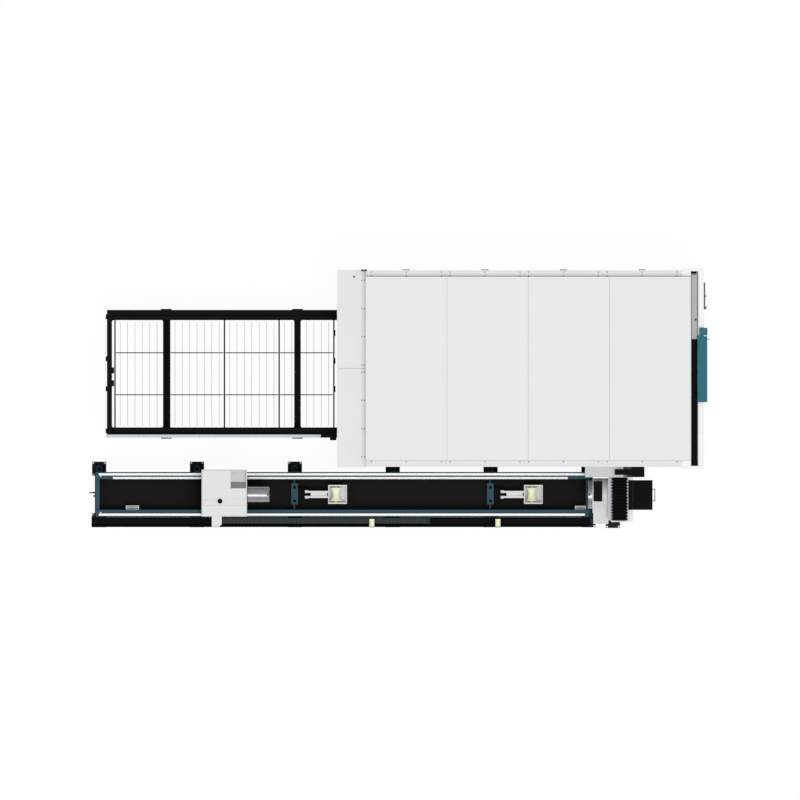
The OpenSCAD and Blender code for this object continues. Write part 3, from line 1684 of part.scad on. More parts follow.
module cut_chamber() {
    slot_x0 = saddle_x - 70;
    slot_x1 = saddle_x + 70;
    color("White") {
        difference() {
            union() {
                block([chamber_x, chamber_y0, chamber_z], [chamber_x1, chamber_y1, chamber_top]);
                block([front_x1, chamber_y0 + 60, chamber_z],
                      [chamber_x + 1, chamber_y1 - 60, chamber_z + 40]);
            }
            block([chamber_x + chamber_t, chamber_y0 + chamber_t, chamber_z + chamber_t],
                  [chamber_x1 - chamber_t, chamber_y1 - chamber_t, chamber_top - chamber_t]);
            rod_x(chamber_x - 1, chamber_x1 + 1, tube_y, tube_z, passage_d);
            block([slot_x0, chamber_y0 + 40, chamber_top - chamber_t - 1],
                  [slot_x1, chamber_y1 + 1, chamber_top + 1]);
            block([slot_x0, chamber_y1 - chamber_t - 1, link_z],
                  [slot_x1, chamber_y1 + 1, chamber_top + 1]);
            block([chamber_x1 - chamber_t - 1, tube_y - drawer_w / 2 - drawer_gap - 8,
                  drawer_z - drawer_gap],
                  [chamber_x1 + 1, tube_y + drawer_w / 2 + drawer_gap - 8,
                  drawer_z + drawer_h + drawer_gap]);
        }
        for (s = [-1, 1])
            block([chamber_x + 30, tube_y - 8 + s * (drawer_w / 2 - 20) - 15, chamber_z + chamber_t - weld],
                  [chamber_x1 - chamber_t + weld, tube_y - 8 + s * (drawer_w / 2 - 20) + 15,
                   drawer_z - run_gap]);
        for (x = [chamber_x, chamber_x1 - 50], y = [chamber_y0, chamber_y1 - 50])
            block([x, y, x == chamber_x && y == chamber_y0 ? plate_t : 0],
                  [x + 50, y + 50, chamber_z + weld]);
    }
    color("Silver") {
        block([front_x1 - 20, chamber_y0 + 20, chamber_top], [chamber_x - 4, chamber_y1, chamber_top + 16]);
        block([front_x1 + 1, chamber_y0 + 20, chamber_top - 40],
              [chamber_x + weld, chamber_y1, chamber_top + weld]);
        for (x = [slot_x0 - 34, slot_x1 + 10])
            block([x, chamber_y0 + 40, chamber_top - weld], [x + 24, link_y1 - 4, chamber_top + 20]);
    }
}

module link_box() {
    x1 = link_x + link_l;
    xc = link_x + link_closed;
    color("White")
        difference() {
            block([link_x, link_y0, link_z], [x1, link_y1, link_top]);
            block([link_x + sheet_t, link_y0 + sheet_t, link_z + sheet_t],
                  [x1 - sheet_t, link_y1 - sheet_t, link_top - sheet_t]);
            block([xc, link_y0 + sheet_t, link_z + sheet_t],
                  [x1 - sheet_t, link_y1 - sheet_t, link_top + 1]);
            block([saddle_x - 110, link_y0 - 1, link_z + sheet_t],
                  [saddle_x + 110, link_y0 + sheet_t + 1, link_top - 40]);
        }
    color("Black") {
        block([link_x + guide_start, link_y0 + 34, link_top - weld], [x1 - 22, link_y0 + 112, link_top + 40]);
        block([x1 - 170, link_y0 + 34, link_top - 60], [x1 - 22, link_y1 - sheet_t + weld, link_top + 40]);
    }
}

module tube_saddle() {
    y0 = bellows_y1 + bearing_gap;
    y1 = link_y1 - 14;
    color("SlateGrey") {
        difference() {
            block([saddle_x - 106, y0, chamber_top + 8], [saddle_x + 106, y1, chamber_top + 44]);
            for (x = [saddle_x - 104, saddle_x + 80])
                block([x - bearing_gap, y0 - 1, chamber_top],
                      [x + 24 + bearing_gap, y1 + 1, chamber_top + 20 + bearing_gap]);
            block([saddle_x - 40, y0 + 30, chamber_top], [saddle_x + 40, y1 - 20, chamber_top + 50]);
        }
        block([saddle_x - 60, y1 - 20, chamber_top + 43], [saddle_x + 60, y1, chamber_top + 190]);
    }
}

module tube_head() {
    y = link_y0 + link_d / 2;
    color("LightGrey") {
        rod_z(saddle_x, y - 4, chamber_top - 110, chamber_top + 170, 64);
        block([saddle_x - 28, y - 4, chamber_top + 60],
              [saddle_x + 28, link_y1 - 34 - bearing_gap, chamber_top + 170]);
    }
    color("DarkGoldenrod")
        translate([saddle_x, y - 4, chamber_top - 160])
            rotate_extrude()
                polygon([[3, 0], [7, 0], [18, 26], [18, 51], [3, 51]]);
}

module bellows() {
    l = pleat * pleats;
    color("Black")
        intersection() {
            translate([bellows_x0, bellows_y1, chamber_top + 20])
                linear_extrude(bellows_h + 1)
                    union()
                        for (k = [0 : pleats - 1])
                            translate([0, -k * pleat])
                                polygon([[pleat_d, 0], [bellows_w - pleat_d, 0], [bellows_w, -pleat / 2],
                                         [bellows_w - pleat_d, -pleat], [pleat_d, -pleat],
                                         [0, -pleat / 2]]);
            translate([bellows_x0 - 1, bellows_y1, chamber_top + 20])
                rotate([90, 0, 90])
                    linear_extrude(bellows_w + 2)
                        for (k = [0 : pleats - 1])
                            translate([-k * pleat, 0])
                                polygon([[0, 0], [0, bellows_h - pleat_d], [-pleat / 2, bellows_h],
                                        [-pleat, bellows_h - pleat_d], [-pleat, 0]]);
        }
}

module parts_drawer() {
    y0 = tube_y - drawer_w / 2 - 8;
    y1 = y0 + drawer_w;
    x0 = chamber_x + 30;
    x1 = chamber_x1 + drawer_out;
    color("Black") {
        difference() {
            block([x0, y0, drawer_z], [x1, y1, drawer_z + drawer_h]);
            block([x0 + sheet_t, y0 + sheet_t, drawer_z + sheet_t],
                  [x1 - sheet_t, y1 - sheet_t, drawer_z + drawer_h + 1]);
        }
        block([chamber_x1 + 4, y0, drawer_z + drawer_h - sheet_t], [x1, y1, drawer_z + drawer_h]);
        for (y = [y0 + 24, y1 - 24], x = [x1 - 20, x1 - 52])
            rod_z(x, y, drawer_z + drawer_h - weld, drawer_z + drawer_h + 4, 10);
    }
    color("Silver") {
        for (y = [-80, 80])
            rod_x(x1 - weld, x1 + 32, (y0 + y1) / 2 + y, drawer_z + 140, 10);
        rod_y(x1 + 32, (y0 + y1) / 2 - 90, (y0 + y1) / 2 + 90, drawer_z + 140, 12);
    }
}

cabin_frame();
rear_panels();
front_panels();
roof_panels();
hood_rear();
hood_front();
shuttle_door();
end_wall();
end_gutter();
door_track();
end_door();
door_window();
teal_trims();
control_panel();
stop_button();
selector_knob();
cover_screws();
machine_bed();
x_rails();
gantry_beam();
head_carriage();
cutting_head();
shuttle_frame();
shuttle_strip();
upper_pallet();
upper_slats();
lower_pallet();
lower_slats();
tube_bed();
bed_pan();
tube_rails();
tube_feet();
chain_tray();
drag_chain();
carriage_base();
carriage_cover();
rear_chuck();
rear_jaw_1();
rear_jaw_2();
rear_jaw_3();
rear_jaw_4();
support_brackets();
support_arm_1();
support_arm_2();
support_roller_1();
support_roller_2();
loading_roller_1();
loading_roller_2();
front_housing();
front_chuck();
front_jaw_1();
front_jaw_2();
front_jaw_3();
front_jaw_4();
cut_chamber();
link_box();
tube_saddle();
tube_head();
bellows();
parts_drawer();
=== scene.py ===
import math

import bpy
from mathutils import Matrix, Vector


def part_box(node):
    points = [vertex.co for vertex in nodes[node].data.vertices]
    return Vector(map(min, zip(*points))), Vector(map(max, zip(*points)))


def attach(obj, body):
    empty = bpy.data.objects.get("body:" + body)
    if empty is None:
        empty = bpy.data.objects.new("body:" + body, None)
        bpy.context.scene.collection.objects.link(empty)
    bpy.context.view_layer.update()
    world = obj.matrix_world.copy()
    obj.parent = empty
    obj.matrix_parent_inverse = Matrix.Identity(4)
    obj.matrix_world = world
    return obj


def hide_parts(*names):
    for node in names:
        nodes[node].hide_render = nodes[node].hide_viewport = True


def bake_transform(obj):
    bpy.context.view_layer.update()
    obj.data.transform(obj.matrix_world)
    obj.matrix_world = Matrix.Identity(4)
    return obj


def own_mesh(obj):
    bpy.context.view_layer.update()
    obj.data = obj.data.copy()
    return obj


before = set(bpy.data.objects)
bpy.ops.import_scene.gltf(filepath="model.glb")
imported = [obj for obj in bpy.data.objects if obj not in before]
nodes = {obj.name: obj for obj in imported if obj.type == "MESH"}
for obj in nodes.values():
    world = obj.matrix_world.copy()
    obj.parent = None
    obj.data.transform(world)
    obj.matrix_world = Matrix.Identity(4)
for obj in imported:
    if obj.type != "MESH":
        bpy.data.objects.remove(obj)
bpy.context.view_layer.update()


# Sheet metal coat: powder paint with a faint cloud in its tone, a fine orange-peel
# relief and softened edges. Every painted piece shares it.
coat = bpy.data.node_groups.new("sheet_coat", "ShaderNodeTree")
for label, way, kind in [
        ("Colour", "INPUT", "NodeSocketColor"), ("Cloud", "INPUT", "NodeSocketFloat"),
        ("Roughness", "INPUT", "NodeSocketFloat"), ("Colour", "OUTPUT", "NodeSocketColor"),
        ("Roughness", "OUTPUT", "NodeSocketFloat"), ("Normal", "OUTPUT", "NodeSocketVector")]:
    coat.interface.new_socket(label, in_out=way, socket_type=kind)
coat_in = coat.nodes.new("NodeGroupInput")
coat_out = coat.nodes.new("NodeGroupOutput")
place = coat.nodes.new("ShaderNodeTexCoord")
cloud = coat.nodes.new("ShaderNodeTexNoise")
cloud.inputs["Scale"].default_value = 1.7
cloud.inputs["Detail"].default_value = 5.0
peel = coat.nodes.new("ShaderNodeTexNoise")
peel.inputs["Scale"].default_value = 260.0
spread = coat.nodes.new("ShaderNodeMapRange")
spread.inputs["From Min"].default_value = 0.3
spread.inputs["From Max"].default_value = 0.7
spread.inputs["To Min"].default_value = -1.0
scaled = coat.nodes.new("ShaderNodeMath")
scaled.operation = "MULTIPLY_ADD"
scaled.inputs[2].default_value = 1.0
tinted = coat.nodes.new("ShaderNodeVectorMath")
tinted.operation = "SCALE"
worn = coat.nodes.new("ShaderNodeMath")
worn.operation = "MULTIPLY"
round_edge = coat.nodes.new("ShaderNodeBevel")
round_edge.samples = 4
round_edge.inputs["Radius"].default_value = 0.004
relief = coat.nodes.new("ShaderNodeBump")
relief.inputs["Strength"].default_value = 0.12
relief.inputs["Distance"].default_value = 0.0006
for a, b in [
        (place.outputs["Object"], cloud.inputs["Vector"]),
        (place.outputs["Object"], peel.inputs["Vector"]),
        (cloud.outputs["Fac"], spread.inputs["Value"]),
        (spread.outputs["Result"], scaled.inputs[0]),
        (coat_in.outputs["Cloud"], scaled.inputs[1]),
        (coat_in.outputs["Colour"], tinted.inputs[0]),
        (scaled.outputs[0], tinted.inputs["Scale"]),
        (tinted.outputs[0], coat_out.inputs["Colour"]),
        (coat_in.outputs["Roughness"], worn.inputs[0]),
        (scaled.outputs[0], worn.inputs[1]),
        (worn.outputs[0], coat_out.inputs["Roughness"]),
        (peel.outputs["Fac"], relief.inputs["Height"]),
        (round_edge.outputs[0], relief.inputs["Normal"]),
        (relief.outputs[0], coat_out.inputs["Normal"])]:
    coat.links.new(a, b)


# One finish from a tone as it reads from above: the tone is an sRGB colour from 0 to 255,
# and dividing by the hall's light on the piece gives the paint's own colour.
def finish(name, tone, rough, metal=0.0, cloud_amount=0.03, clear=0.0, light=0.9, shine=0.5):
    mat = bpy.data.materials.new(name)
    mat.use_nodes = True
    shader = mat.node_tree.nodes["Principled BSDF"]
    colour = [min(1.0, ((c / 255 + 0.055) / 1.055) ** 2.4 / light) if c > 10 else c / 3300
              for c in tone]
    body = mat.node_tree.nodes.new("ShaderNodeGroup")
    body.node_tree = coat
    body.inputs["Colour"].default_value = (*colour, 1.0)
    body.inputs["Cloud"].default_value = cloud_amount
    body.inputs["Roughness"].default_value = rough
    shader.inputs["Metallic"].default_value = metal
    shader.inputs["Coat Weight"].default_value = clear
    shader.inputs["Specular IOR Level"].default_value = shine
    for out, to in (("Colour", "Base Color"), ("Roughness", "Roughness"), ("Normal", "Normal")):
        mat.node_tree.links.new(body.outputs[out], shader.inputs[to])
    mat.diffuse_color = (*colour, 1.0)
    return mat


# Gives a CAD node its finish, and other finishes to the faces whose middle a rule picks.
def paint(name, base, *rules):
    mesh = nodes[name].data
    mesh.materials.clear()
    for mat in [base] + [m for m, _ in rules]:
        mesh.materials.append(mat)
    for face in mesh.polygons:
        face.material_index = 0
        for n, (_, rule) in enumerate(rules):
            if rule(face.center):
                face.material_index = n + 1


# Cabin: white powder-coated folded sheet over a grey tube frame, with small dark screws,
# grey pull handles and one black plug on the hood.
roof_white = finish("roof_white", (230, 230, 230), 0.42, cloud_amount=0.012)
# The ledges' white is set darker than the roof's white, as painted shade below the roof's raised
# edge.
shaded_ledge_white = finish("shaded_ledge_white", (224, 224, 224), 0.45, cloud_amount=0.015)
hood_white = finish("hood_white", (228, 228, 228), 0.45, cloud_amount=0.015)
frame_grey = finish("frame_grey", (128, 131, 135), 0.5)
bright_steel = finish("bright_steel", (190, 193, 196), 0.32, 0.85, 0.05)
dark_grey = finish("dark_grey", (70, 72, 75), 0.5)
black_paint = finish("black_paint", (11, 11, 11), 0.5, shine=0.05)
rear_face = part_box("rear_panels")[1].y - 0.0135
for n in ("cabin_frame", "machine_bed"):
    paint(n, frame_grey)
paint("roof_panels", roof_white)
paint("rear_panels", shaded_ledge_white, (dark_grey, lambda c: c.y > rear_face))
paint("front_panels", shaded_ledge_white)
paint("hood_rear", hood_white,
      (black_paint, lambda c: c.z > 2.0005 and math.hypot(c.x + 0.643, c.y - 1.702) < 0.0125))
paint("hood_front", hood_white)
paint("shuttle_door", hood_white)
paint("cover_screws", dark_grey)


# Operator end: white cap, pale gutter with the black track, teal sliding door with a
# steel bar handle, safety glass, and a dark control panel with its screen.
teal_door = finish("teal_door", (28, 104, 118), 0.38, cloud_amount=0.02, clear=0.03, shine=0.2)
gutter_grey = finish("gutter_grey", (178, 179, 181), 0.45)
window_glass = finish("window_glass", (84, 150, 130), 0.06, clear=1.0)
screen_glass = finish("screen_glass", (16, 20, 24), 0.08, clear=1.0)
stop_red = finish("stop_red", (196, 24, 24), 0.25, clear=0.4)
door_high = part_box("door_window")[1].x + 0.0183
panel_low, panel_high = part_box("control_panel")
panel_mid = (panel_low.y + panel_high.y) / 2
end_white = finish("end_white", (241, 241, 241), 0.42, cloud_amount=0.012)
paint("end_wall", end_white)
paint("end_gutter", gutter_grey)
paint("door_track", black_paint)
paint("end_door", teal_door, (bright_steel, lambda c: c.x > door_high),
      (black_paint, lambda c: c.x < 4.1605 and c.z > 2.0))
paint("door_window", window_glass)
paint("teal_trims", teal_door)
paint("control_panel", dark_grey,
      (screen_glass, lambda c: panel_low.z + 0.275 < c.z < panel_high.z - 0.032
       and abs(c.y - panel_mid) < 0.155))
paint("stop_button", stop_red)
paint("selector_knob", black_paint)


# Sheet machine in the cabin: ground rails, blue-green gantry, dark head carriage and
# the pale head with its brass nozzle.
gantry_teal = finish("gantry_teal", (47, 92, 106), 0.45)
brass = finish("brass", (196, 152, 84), 0.3, 0.9)
pale_grey = finish("pale_grey", (205, 207, 209), 0.4)
nozzle_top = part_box("cutting_head")[0].z + 0.1201
paint("x_rails", bright_steel)
paint("gantry_beam", gantry_teal)
paint("head_carriage", dark_grey)
paint("cutting_head", pale_grey, (brass, lambda c: c.z < nozzle_top))


# Shuttle table: satin black welded frame and pallets, scale-dark saw-tooth slats, the
# pale strip on the front beam and the white plate at the left end.
table_black = finish("table_black", (11, 11, 12), 0.42, cloud_amount=0.08, shine=0.05)
slat_dark = finish("slat_dark", (24, 22, 20), 0.6, 0.0, 0.15, shine=0.05)
strip_blue = finish("strip_blue", (196, 207, 214), 0.35)
plate_white = finish("plate_white", (224, 224, 224), 0.45)
for n in ("shuttle_frame", "upper_pallet", "lower_pallet"):
    paint(n, table_black)
for n in ("upper_slats", "lower_slats"):
    paint(n, slat_dark)
table_y = 0.343
end_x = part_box("shuttle_strip")[0].x + 0.0031
paint("shuttle_strip", strip_blue,
      (plate_white, lambda c: c.x < end_x and abs(c.y - table_y) < 0.8226 and c.z < 0.9101))



# Tube bed: teal welded beams on black foot plates, ground rails and rack, the black pan
# between the beams and the black tray in front of them.
bed_teal = finish("bed_teal", (44, 77, 90), 0.42, cloud_amount=0.04, shine=0.15)
foot_black = finish("foot_black", (24, 24, 26), 0.5, shine=0.12)
pan_black = finish("pan_black", (21, 20, 19), 0.55, cloud_amount=0.06, light=0.7, shine=0.05)
rail_steel = finish("rail_steel", (240, 241, 242), 0.3, 0.2, 0.02)
bolt_pale = finish("bolt_pale", (222, 223, 224), 0.35, 0.3)
buffer_cream = finish("buffer_cream", (216, 202, 160), 0.6)
tube_y, tube_z = -1.346, 0.950
foot_x = [-4.212 + 1.370 * n for n in range(6)] + [2.981]
paint("tube_bed", bed_teal, (foot_black, lambda c: c.x < -4.2625))
paint("bed_pan", pan_black)
paint("tube_rails", rail_steel,
      (buffer_cream, lambda c: -4.2025 < c.x < -4.1765
       and abs(abs(c.y - tube_y) - 0.256) < 0.0112))
paint("tube_feet", foot_black,
      (bolt_pale, lambda c: c.z > 0.0251 and min(abs(c.x - x) for x in foot_x) > 0.05))
paint("chain_tray", black_paint,
      (bright_steel, lambda c: 0.641 < c.z < 0.663 and c.y > -1.8024))



# Rear chuck: white bevelled cover on a grey portal, with steel fittings and one black
# cap in its band, a steel nose and dark jaws.
cover_white = finish("cover_white", (224, 225, 225), 0.4, cloud_amount=0.012, shine=0.3)
chuck_steel = finish("chuck_steel", (150, 152, 155), 0.34, 0.8, 0.06)
jaw_dark = finish("jaw_dark", (84, 86, 89), 0.4, 0.7)
# The cover's notch is painted shade: its floor is a light grey and its slope a darker grey, for the
# shade inside the recess.
shaded_notch_floor = finish("shaded_notch_floor", (211, 212, 213), 0.45, shine=0.2)
shaded_notch_slope = finish("shaded_notch_slope", (143, 144, 146), 0.45, shine=0.2)


def in_notch(c):
    return -2.3705 < c.x < -2.1435 and -1.2645 < c.y < -1.0015 and c.z < 1.2135


paint("carriage_base", frame_grey)
# The notch faces of the cover take the two painted-shade greys.
paint("carriage_cover", cover_white,
      (black_paint, lambda c: c.z > 1.2221 and math.hypot(c.x + 2.520, c.y + 1.441) < 0.0335),
      (bright_steel, lambda c: c.z > 1.2221 and min(math.hypot(c.x + 2.713, c.y + 1.441),
                                                   math.hypot(c.x + 2.615, c.y + 1.441)) < 0.0125),
      (shaded_notch_floor, lambda c: in_notch(c) and c.y > -1.168),
      (shaded_notch_slope, lambda c: in_notch(c) and c.y <= -1.168))
paint("rear_chuck", chuck_steel)
for side in ("rear", "front"):
    for n in (1, 2, 3, 4):
        paint(f"{side}_jaw_{n}", jaw_dark)


# Supports and loading rollers: teal brackets with a black pivot stand, white swing arms
# and turned cream rollers.
roller_cream = finish("roller_cream", (252, 243, 206), 0.5, cloud_amount=0.03)
arm_white = finish("arm_white", (222, 223, 223), 0.45)
support_x = (-1.310, 1.431)
paint("support_brackets", bed_teal,
      (black_paint, lambda c: any(-0.1206 < c.x - x < 0.031 for x in support_x)))
for n in (1, 2):
    paint(f"support_arm_{n}", arm_white)
    paint(f"support_roller_{n}", roller_cream)
    paint(f"loading_roller_{n}", roller_cream)


# Tube station: pale housing with its black top cover, bright chamber rails, white link
# box with the black cable guide, and the black parts drawer with its steel pull.
housing_pale = finish("housing_pale", (214, 216, 218), 0.4)
chamber_white = finish("chamber_white", (238, 239, 240), 0.42, shine=0.3)
link_white = finish("link_white", (202, 203, 204), 0.42, shine=0.3)
deck_alu = finish("deck_alu", (165, 169, 173), 0.35, 0.4)
paint("front_housing", housing_pale,
      (black_paint, lambda c: 2.7095 < c.x < 2.8315 and c.z > 1.0 and c.y > -1.4445
       and math.hypot(c.y - tube_y, c.z - tube_z) > 0.2262))
paint("front_chuck", chuck_steel)
paint("cut_chamber", chamber_white,
      (deck_alu, lambda c: c.z > 1.2402 or (c.z > 1.1995 and c.x < 2.9569)))
paint("link_box", link_white,
      (black_paint, lambda c: c.z > 1.4801
       or (3.2535 < c.x < 3.4025 and c.z > 1.4195 and c.y > -1.0725)))
paint("tube_saddle", frame_grey)
paint("tube_head", pale_grey, (brass, lambda c: c.z < 1.1301))
drawer_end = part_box("parts_drawer")[1].x - 0.0385
pull_steel = finish("pull_steel", (92, 94, 97), 0.35, 0.3)
paint("parts_drawer", black_paint, (pull_steel, lambda c: c.x > drawer_end))


# Small fittings that the CAD leaves out are boxes and flat plates. Their outlines run
# anticlockwise as seen from above.
def piece(name, verts, faces, mat):
    mesh = bpy.data.meshes.new(name)
    mesh.from_pydata(verts, [], faces)
    mesh.materials.append(mat)
    obj = bpy.data.objects.new(name, mesh)
    bpy.context.scene.collection.objects.link(obj)
    return obj


def solid(name, boxes, mat):
    verts, faces = [], []
    for low, high in boxes:
        base = len(verts)
        verts += [(x, y, z) for x in (low[0], high[0]) for y in (low[1], high[1])
                  for z in (low[2], high[2])]
        faces += [[base + k for k in quad] for quad in (
            (0, 1, 3, 2), (4, 6, 7, 5), (0, 4, 5, 1), (2, 3, 7, 6), (0, 2, 6, 4), (1, 5, 7, 3))]
    return piece(name, verts, faces, mat)


def plate(name, outlines, mat):
    verts, faces = [], []
    for points, z0, z1 in outlines:
        base, n = len(verts), len(points)
        verts += [(x, y, z) for z in (z0, z1) for x, y in points]
        faces += [[base + k, base + (k + 1) % n, base + n + (k + 1) % n, base + n + k]
                  for k in range(n)]
        faces += [[base + n - 1 - k for k in range(n)], [base + n + k for k in range(n)]]
    return piece(name, verts, faces, mat)


# Tube line: slotted brackets on the pan's front wall and white trays, each with two low
# cheeks, under the support rollers.
fitting_white = finish("fitting_white", (228, 229, 229), 0.45, shine=0.3)
for n, (x0, x1, y1) in enumerate(((-3.836, -3.654, -1.502), (2.450, 2.600, -1.506))):
    y0, z0, z1, end_w = -1.5605, 0.5702, 0.5742, 0.014
    mid = (y0 + y1) / 2
    bars = [(y0, y0 + 0.014), (mid - 0.005, mid + 0.005), (y1 - 0.012, y1)]
    boxes = [((x0, a, z0), (x1, b, z1)) for a, b in bars]
    for (_, a), (b, _) in zip(bars, bars[1:]):
        boxes += [((x, a, z0), (x + end_w, b, z1)) for x in (x0, x1 - end_w)]
    bracket = solid(f"slotted_bracket_{n + 1}", boxes, fitting_white)
    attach(bracket, "machine")
tray_half, cheek_t, tray_z0, tray_z1 = 0.1143, 0.003, 0.506, 0.510
for n, stand in enumerate(support_x, 1):
    x = stand + 0.414
    boxes = [((x - 0.0965, tube_y - tray_half, tray_z0), (x + 0.1405, tube_y + tray_half, tray_z1))]
    boxes += [((x + 0.095, tube_y + a, tray_z1), (x + 0.125, tube_y + a + cheek_t, 0.585))
              for a in (-tray_half, tray_half - cheek_t)]
    tray = solid(f"roller_tray_{n}", boxes, fitting_white)
    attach(tray, f"support_arm_{n}_body")


# Black fittings: the outlet's lid, cable ends at the link box, the gutter's end, a rubber
# plug, and gussets with a round inner corner on the table's cross beams.
lid = solid("outlet_lid", [((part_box("bellows")[1].x + 0.0005, -1.562, 1.2402),
                            (3.2615, -1.145, 1.2428))], black_paint)
cables = solid("cable_ends", [((3.262 + 0.028 * k, -1.082 - 0.008 * (k % 3), 1.488),
                               (3.278 + 0.028 * k, -1.0722, 1.512)) for k in range(5)], black_paint)
gutter_end = solid("gutter_end", [((4.0715, 1.744, 2.1472), (4.150, 1.776, 2.1492))], black_paint)
plug_r = 0.012
ring = [(4.140 + plug_r * math.cos(k * math.pi / 8), 1.099 + plug_r * math.sin(k * math.pi / 8))
        for k in range(16)]
plug = plate("rubber_plug", [(ring, 2.145, 2.155)], black_paint)
beam_in, rail_in, gusset_r, gusset_t = 0.800, 0.7545, 0.030, 0.010
corner = [(0, 0), (gusset_r, 0)] + [
    (gusset_r - gusset_r * math.sin(k * math.pi / 12),
     beam_in - rail_in + gusset_r - gusset_r * math.cos(k * math.pi / 12)) for k in range(7)]
gussets = []
for edge, sx, z in ((-4.032, 1, 0.545), (-3.318, -1, 0.568), (-3.226, 1, 0.568),
                    (-1.481, -1, 0.568), (-1.389, 1, 0.568)):
    for sy in (-1, 1):
        points = [(edge + sx * u, table_y + sy * (beam_in - v)) for u, v in corner]
        gussets.append((points[::-sx * sy], z, z + gusset_t))
gusset = plate("corner_gussets", gussets, table_black)
for part in (lid, cables, gutter_end, plug, gusset):
    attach(part, "machine")


# Cabin fittings and comb flanges: the cap of the corner trim, the seal of the hood's seam,
# fillers beside the hood, and a flange along each comb bar of the upper pallet.
trim_cap = solid("trim_cap", [((-0.545, 1.779, 2.1502), (-0.462, 1.8025, 2.154))], bed_teal)
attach(trim_cap, "machine")
seal_grey = finish("seal_grey", (204, 204, 204), 0.5)
seal = solid("hood_seal", [((-0.862, 0.409, 2.0002), (-0.4835, 0.423, 2.0010))], seal_grey)
# The fillers share the ledges' darker white with its painted shade.
fillers = solid("corner_fillers", [((-0.4798, a, 2.144), (-0.4602, b, 2.1495))
                                   for a, b in ((1.704, 1.776), (-0.958, -0.872))], shaded_ledge_white)
for part in (seal, fillers):
    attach(part, "machine")
pallet_x, bay_l, comb_y, flange_half = -3.990, 0.766, 0.294, 0.007
flanges = []
for n in range(4):
    x0, x1 = pallet_x + n * bay_l + 0.016, pallet_x + (n + 1) * bay_l - 0.016
    flanges += [((x0, y - flange_half, 0.8856), (x1, y + flange_half, 0.8898))
                for y in (table_y - comb_y, table_y + comb_y)]
combs = solid("comb_flanges", flanges, table_black)
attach(combs, "upper_pallet_body")


# Drag chain: single plastic links with a slimmer joint between them, laid round the bend.
# It stands for the plain CAD chain.
chain_plastic = finish("chain_plastic", (54, 55, 57), 0.5, cloud_amount=0.05, shine=0.15)
chain_low, chain_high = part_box("drag_chain")
link, thick, bend_r = 0.05, 0.044, 0.075
turn_x = chain_high.x - bend_r
mid_z = chain_low.z + bend_r
run_top = turn_x - chain_low.x
run_low = turn_x + 0.850
arc = math.pi * (bend_r - thick / 2)
chain_verts, chain_faces = [], []
y0, y1 = chain_low.y + 0.0005, chain_high.y - 0.0005


def chain_point(s, off):
    if s < run_top:
        return chain_low.x + s, mid_z + bend_r - thick / 2 + off
    if s < run_top + arc:
        a = math.pi / 2 - (s - run_top) / (bend_r - thick / 2)
        r = bend_r - thick / 2 + off
        return turn_x + r * math.cos(a), mid_z + r * math.sin(a)
    return turn_x - (s - run_top - arc), mid_z - bend_r + thick / 2 - off


total = run_top + arc + run_low
count = int(total / link)
steps = 3
for k in range(count):
    for s0, s1, inset, drop in ((0.0, 0.62, 0.0, 0.0), (0.62, 1.0, 0.005, 0.006)):
        base = len(chain_verts)
        for m in range(steps + 1):
            s = (k + s0 + (s1 - s0) * m / steps) * total / count
            for y, off in ((y0 + inset, -1), (y1 - inset, -1), (y1 - inset, 1), (y0 + inset, 1)):
                x, z = chain_point(s, off * (thick / 2 - drop - 0.0004))
                chain_verts.append((x, y, z))
        for m in range(steps):
            b = base + 4 * m
            chain_faces += [[b + i, b + (i + 1) % 4, b + 4 + (i + 1) % 4, b + 4 + i]
                            for i in range(4)]
        chain_faces += [[base + 3, base + 2, base + 1, base],
                        [base + 4 * steps + i for i in range(4)]]
chain = piece("chain_links", chain_verts, chain_faces, chain_plastic)
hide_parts("drag_chain")
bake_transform(chain)


# Bellows: folded cloth pleats over the slot of the tube station. It stands for the CAD bellows.
cloth_black = finish("cloth_black", (17, 17, 17), 0.7, cloud_amount=0.1, shine=0.08)
bel_low, bel_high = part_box("bellows")
pleats, fold, round_r = 14, 0.026, 0.006
pitch = (bel_high.y - bel_low.y) / pleats
bel_verts, bel_faces = [], []
for k in range(2 * pleats + 1):
    y = bel_low.y + k * pitch / 2
    inset = 0.0 if k % 2 else fold
    x0, x1, z0, top = bel_low.x + inset, bel_high.x - inset, bel_low.z, bel_high.z - inset
    bel_verts += [(x0, y, z0), (x0, y, top - round_r), (x0 + round_r, y, top),
                  (x1 - round_r, y, top), (x1, y, top - round_r), (x1, y, z0)]
for k in range(2 * pleats):
    b = 6 * k
    bel_faces += [[b + i, b + i + 1, b + 7 + i, b + 6 + i] for i in range(5)]
    bel_faces += [[b + 5, b, b + 6, b + 11]]
bel_faces += [[5, 4, 3, 2, 1, 0], [12 * pleats + i for i in range(6)]]
bellows = piece("bellows_cloth", bel_verts, bel_faces, cloth_black)
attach(bellows, "machine")
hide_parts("bellows")
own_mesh(bellows)


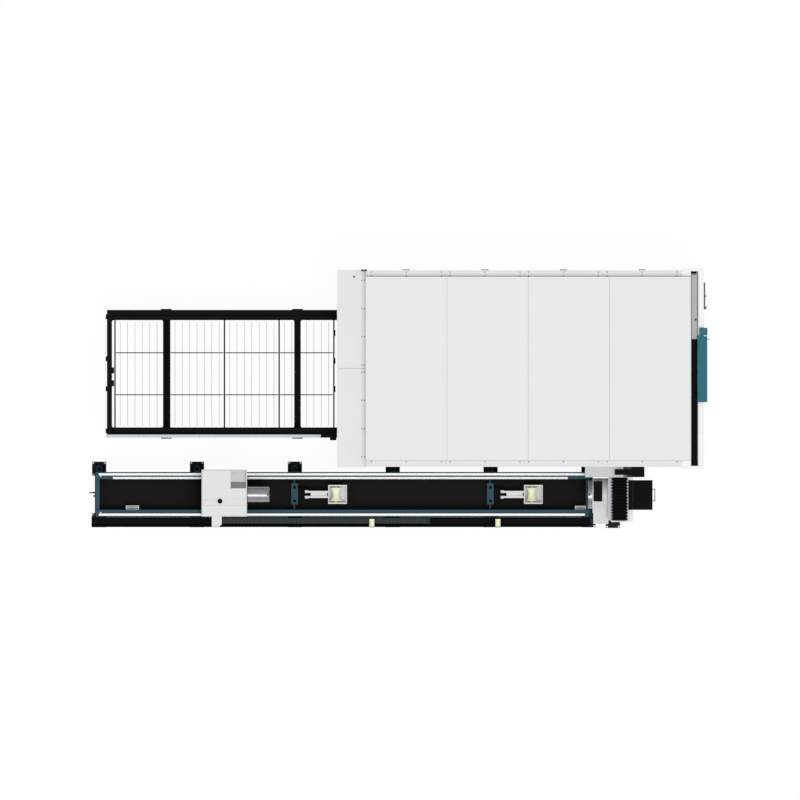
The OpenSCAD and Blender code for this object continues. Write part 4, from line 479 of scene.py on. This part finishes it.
# Hall: a floor that the camera sees as plain white with a faint shadow, a pale sky and one
# soft sun from the front right, seen straight down without perspective.
floor_white = bpy.data.materials.new("floor_white")
floor_white.use_nodes = True
floor_shader = floor_white.node_tree.nodes["Principled BSDF"]
floor_shader.inputs["Roughness"].default_value = 1.0
floor_shader.inputs["Specular IOR Level"].default_value = 0.0
floor_shader.inputs["Emission Strength"].default_value = 0.95
rays = floor_white.node_tree.nodes.new("ShaderNodeLightPath")
seen = floor_white.node_tree.nodes.new("ShaderNodeMath")
mirrored = floor_white.node_tree.nodes.new("ShaderNodeMath")
seen.operation = mirrored.operation = "MAXIMUM"
shade = floor_white.node_tree.nodes.new("ShaderNodeMath")
shade.operation = "MULTIPLY_ADD"
shade.inputs[1].default_value = -0.74
shade.inputs[2].default_value = 0.8
for a, b in [
        (rays.outputs["Is Glossy Ray"], mirrored.inputs[0]),
        (rays.outputs["Is Transmission Ray"], mirrored.inputs[1]),
        (rays.outputs["Is Camera Ray"], seen.inputs[0]),
        (mirrored.outputs[0], seen.inputs[1]),
        (seen.outputs[0], floor_shader.inputs["Emission Color"]),
        (seen.outputs[0], shade.inputs[0]),
        (shade.outputs[0], floor_shader.inputs["Base Color"])]:
    floor_white.node_tree.links.new(a, b)
half, floor_z = 40, -0.002
floor = piece("hall_floor", [(-half, -half, floor_z), (half, -half, floor_z), (half, half, floor_z),
                             (-half, half, floor_z)], [[0, 1, 2, 3]], floor_white)
scene = bpy.context.scene
world = bpy.data.worlds.new("hall")
scene.world = world
world.use_nodes = True
world.node_tree.nodes["Background"].inputs["Color"].default_value = (1, 1, 1, 1)
world.node_tree.nodes["Background"].inputs["Strength"].default_value = 0.6
sun_data = bpy.data.lights.new("sun", "SUN")
sun_data.energy = 0.97
sun_data.angle = math.radians(20)
sun = bpy.data.objects.new("sun", sun_data)
sun.rotation_euler = Vector((-0.12, 0.28, -1.0)).to_track_quat("-Z", "Y").to_euler()
scene.collection.objects.link(sun)
camera_data = bpy.data.cameras.new("camera")
camera_data.type = "ORTHO"
camera_data.ortho_scale = 11.2
camera_data.clip_end = 100
camera = bpy.data.objects.new("camera", camera_data)
camera.location = (0, -0.024, 12)
scene.collection.objects.link(camera)
scene.camera = camera
scene.view_settings.view_transform = "Standard"
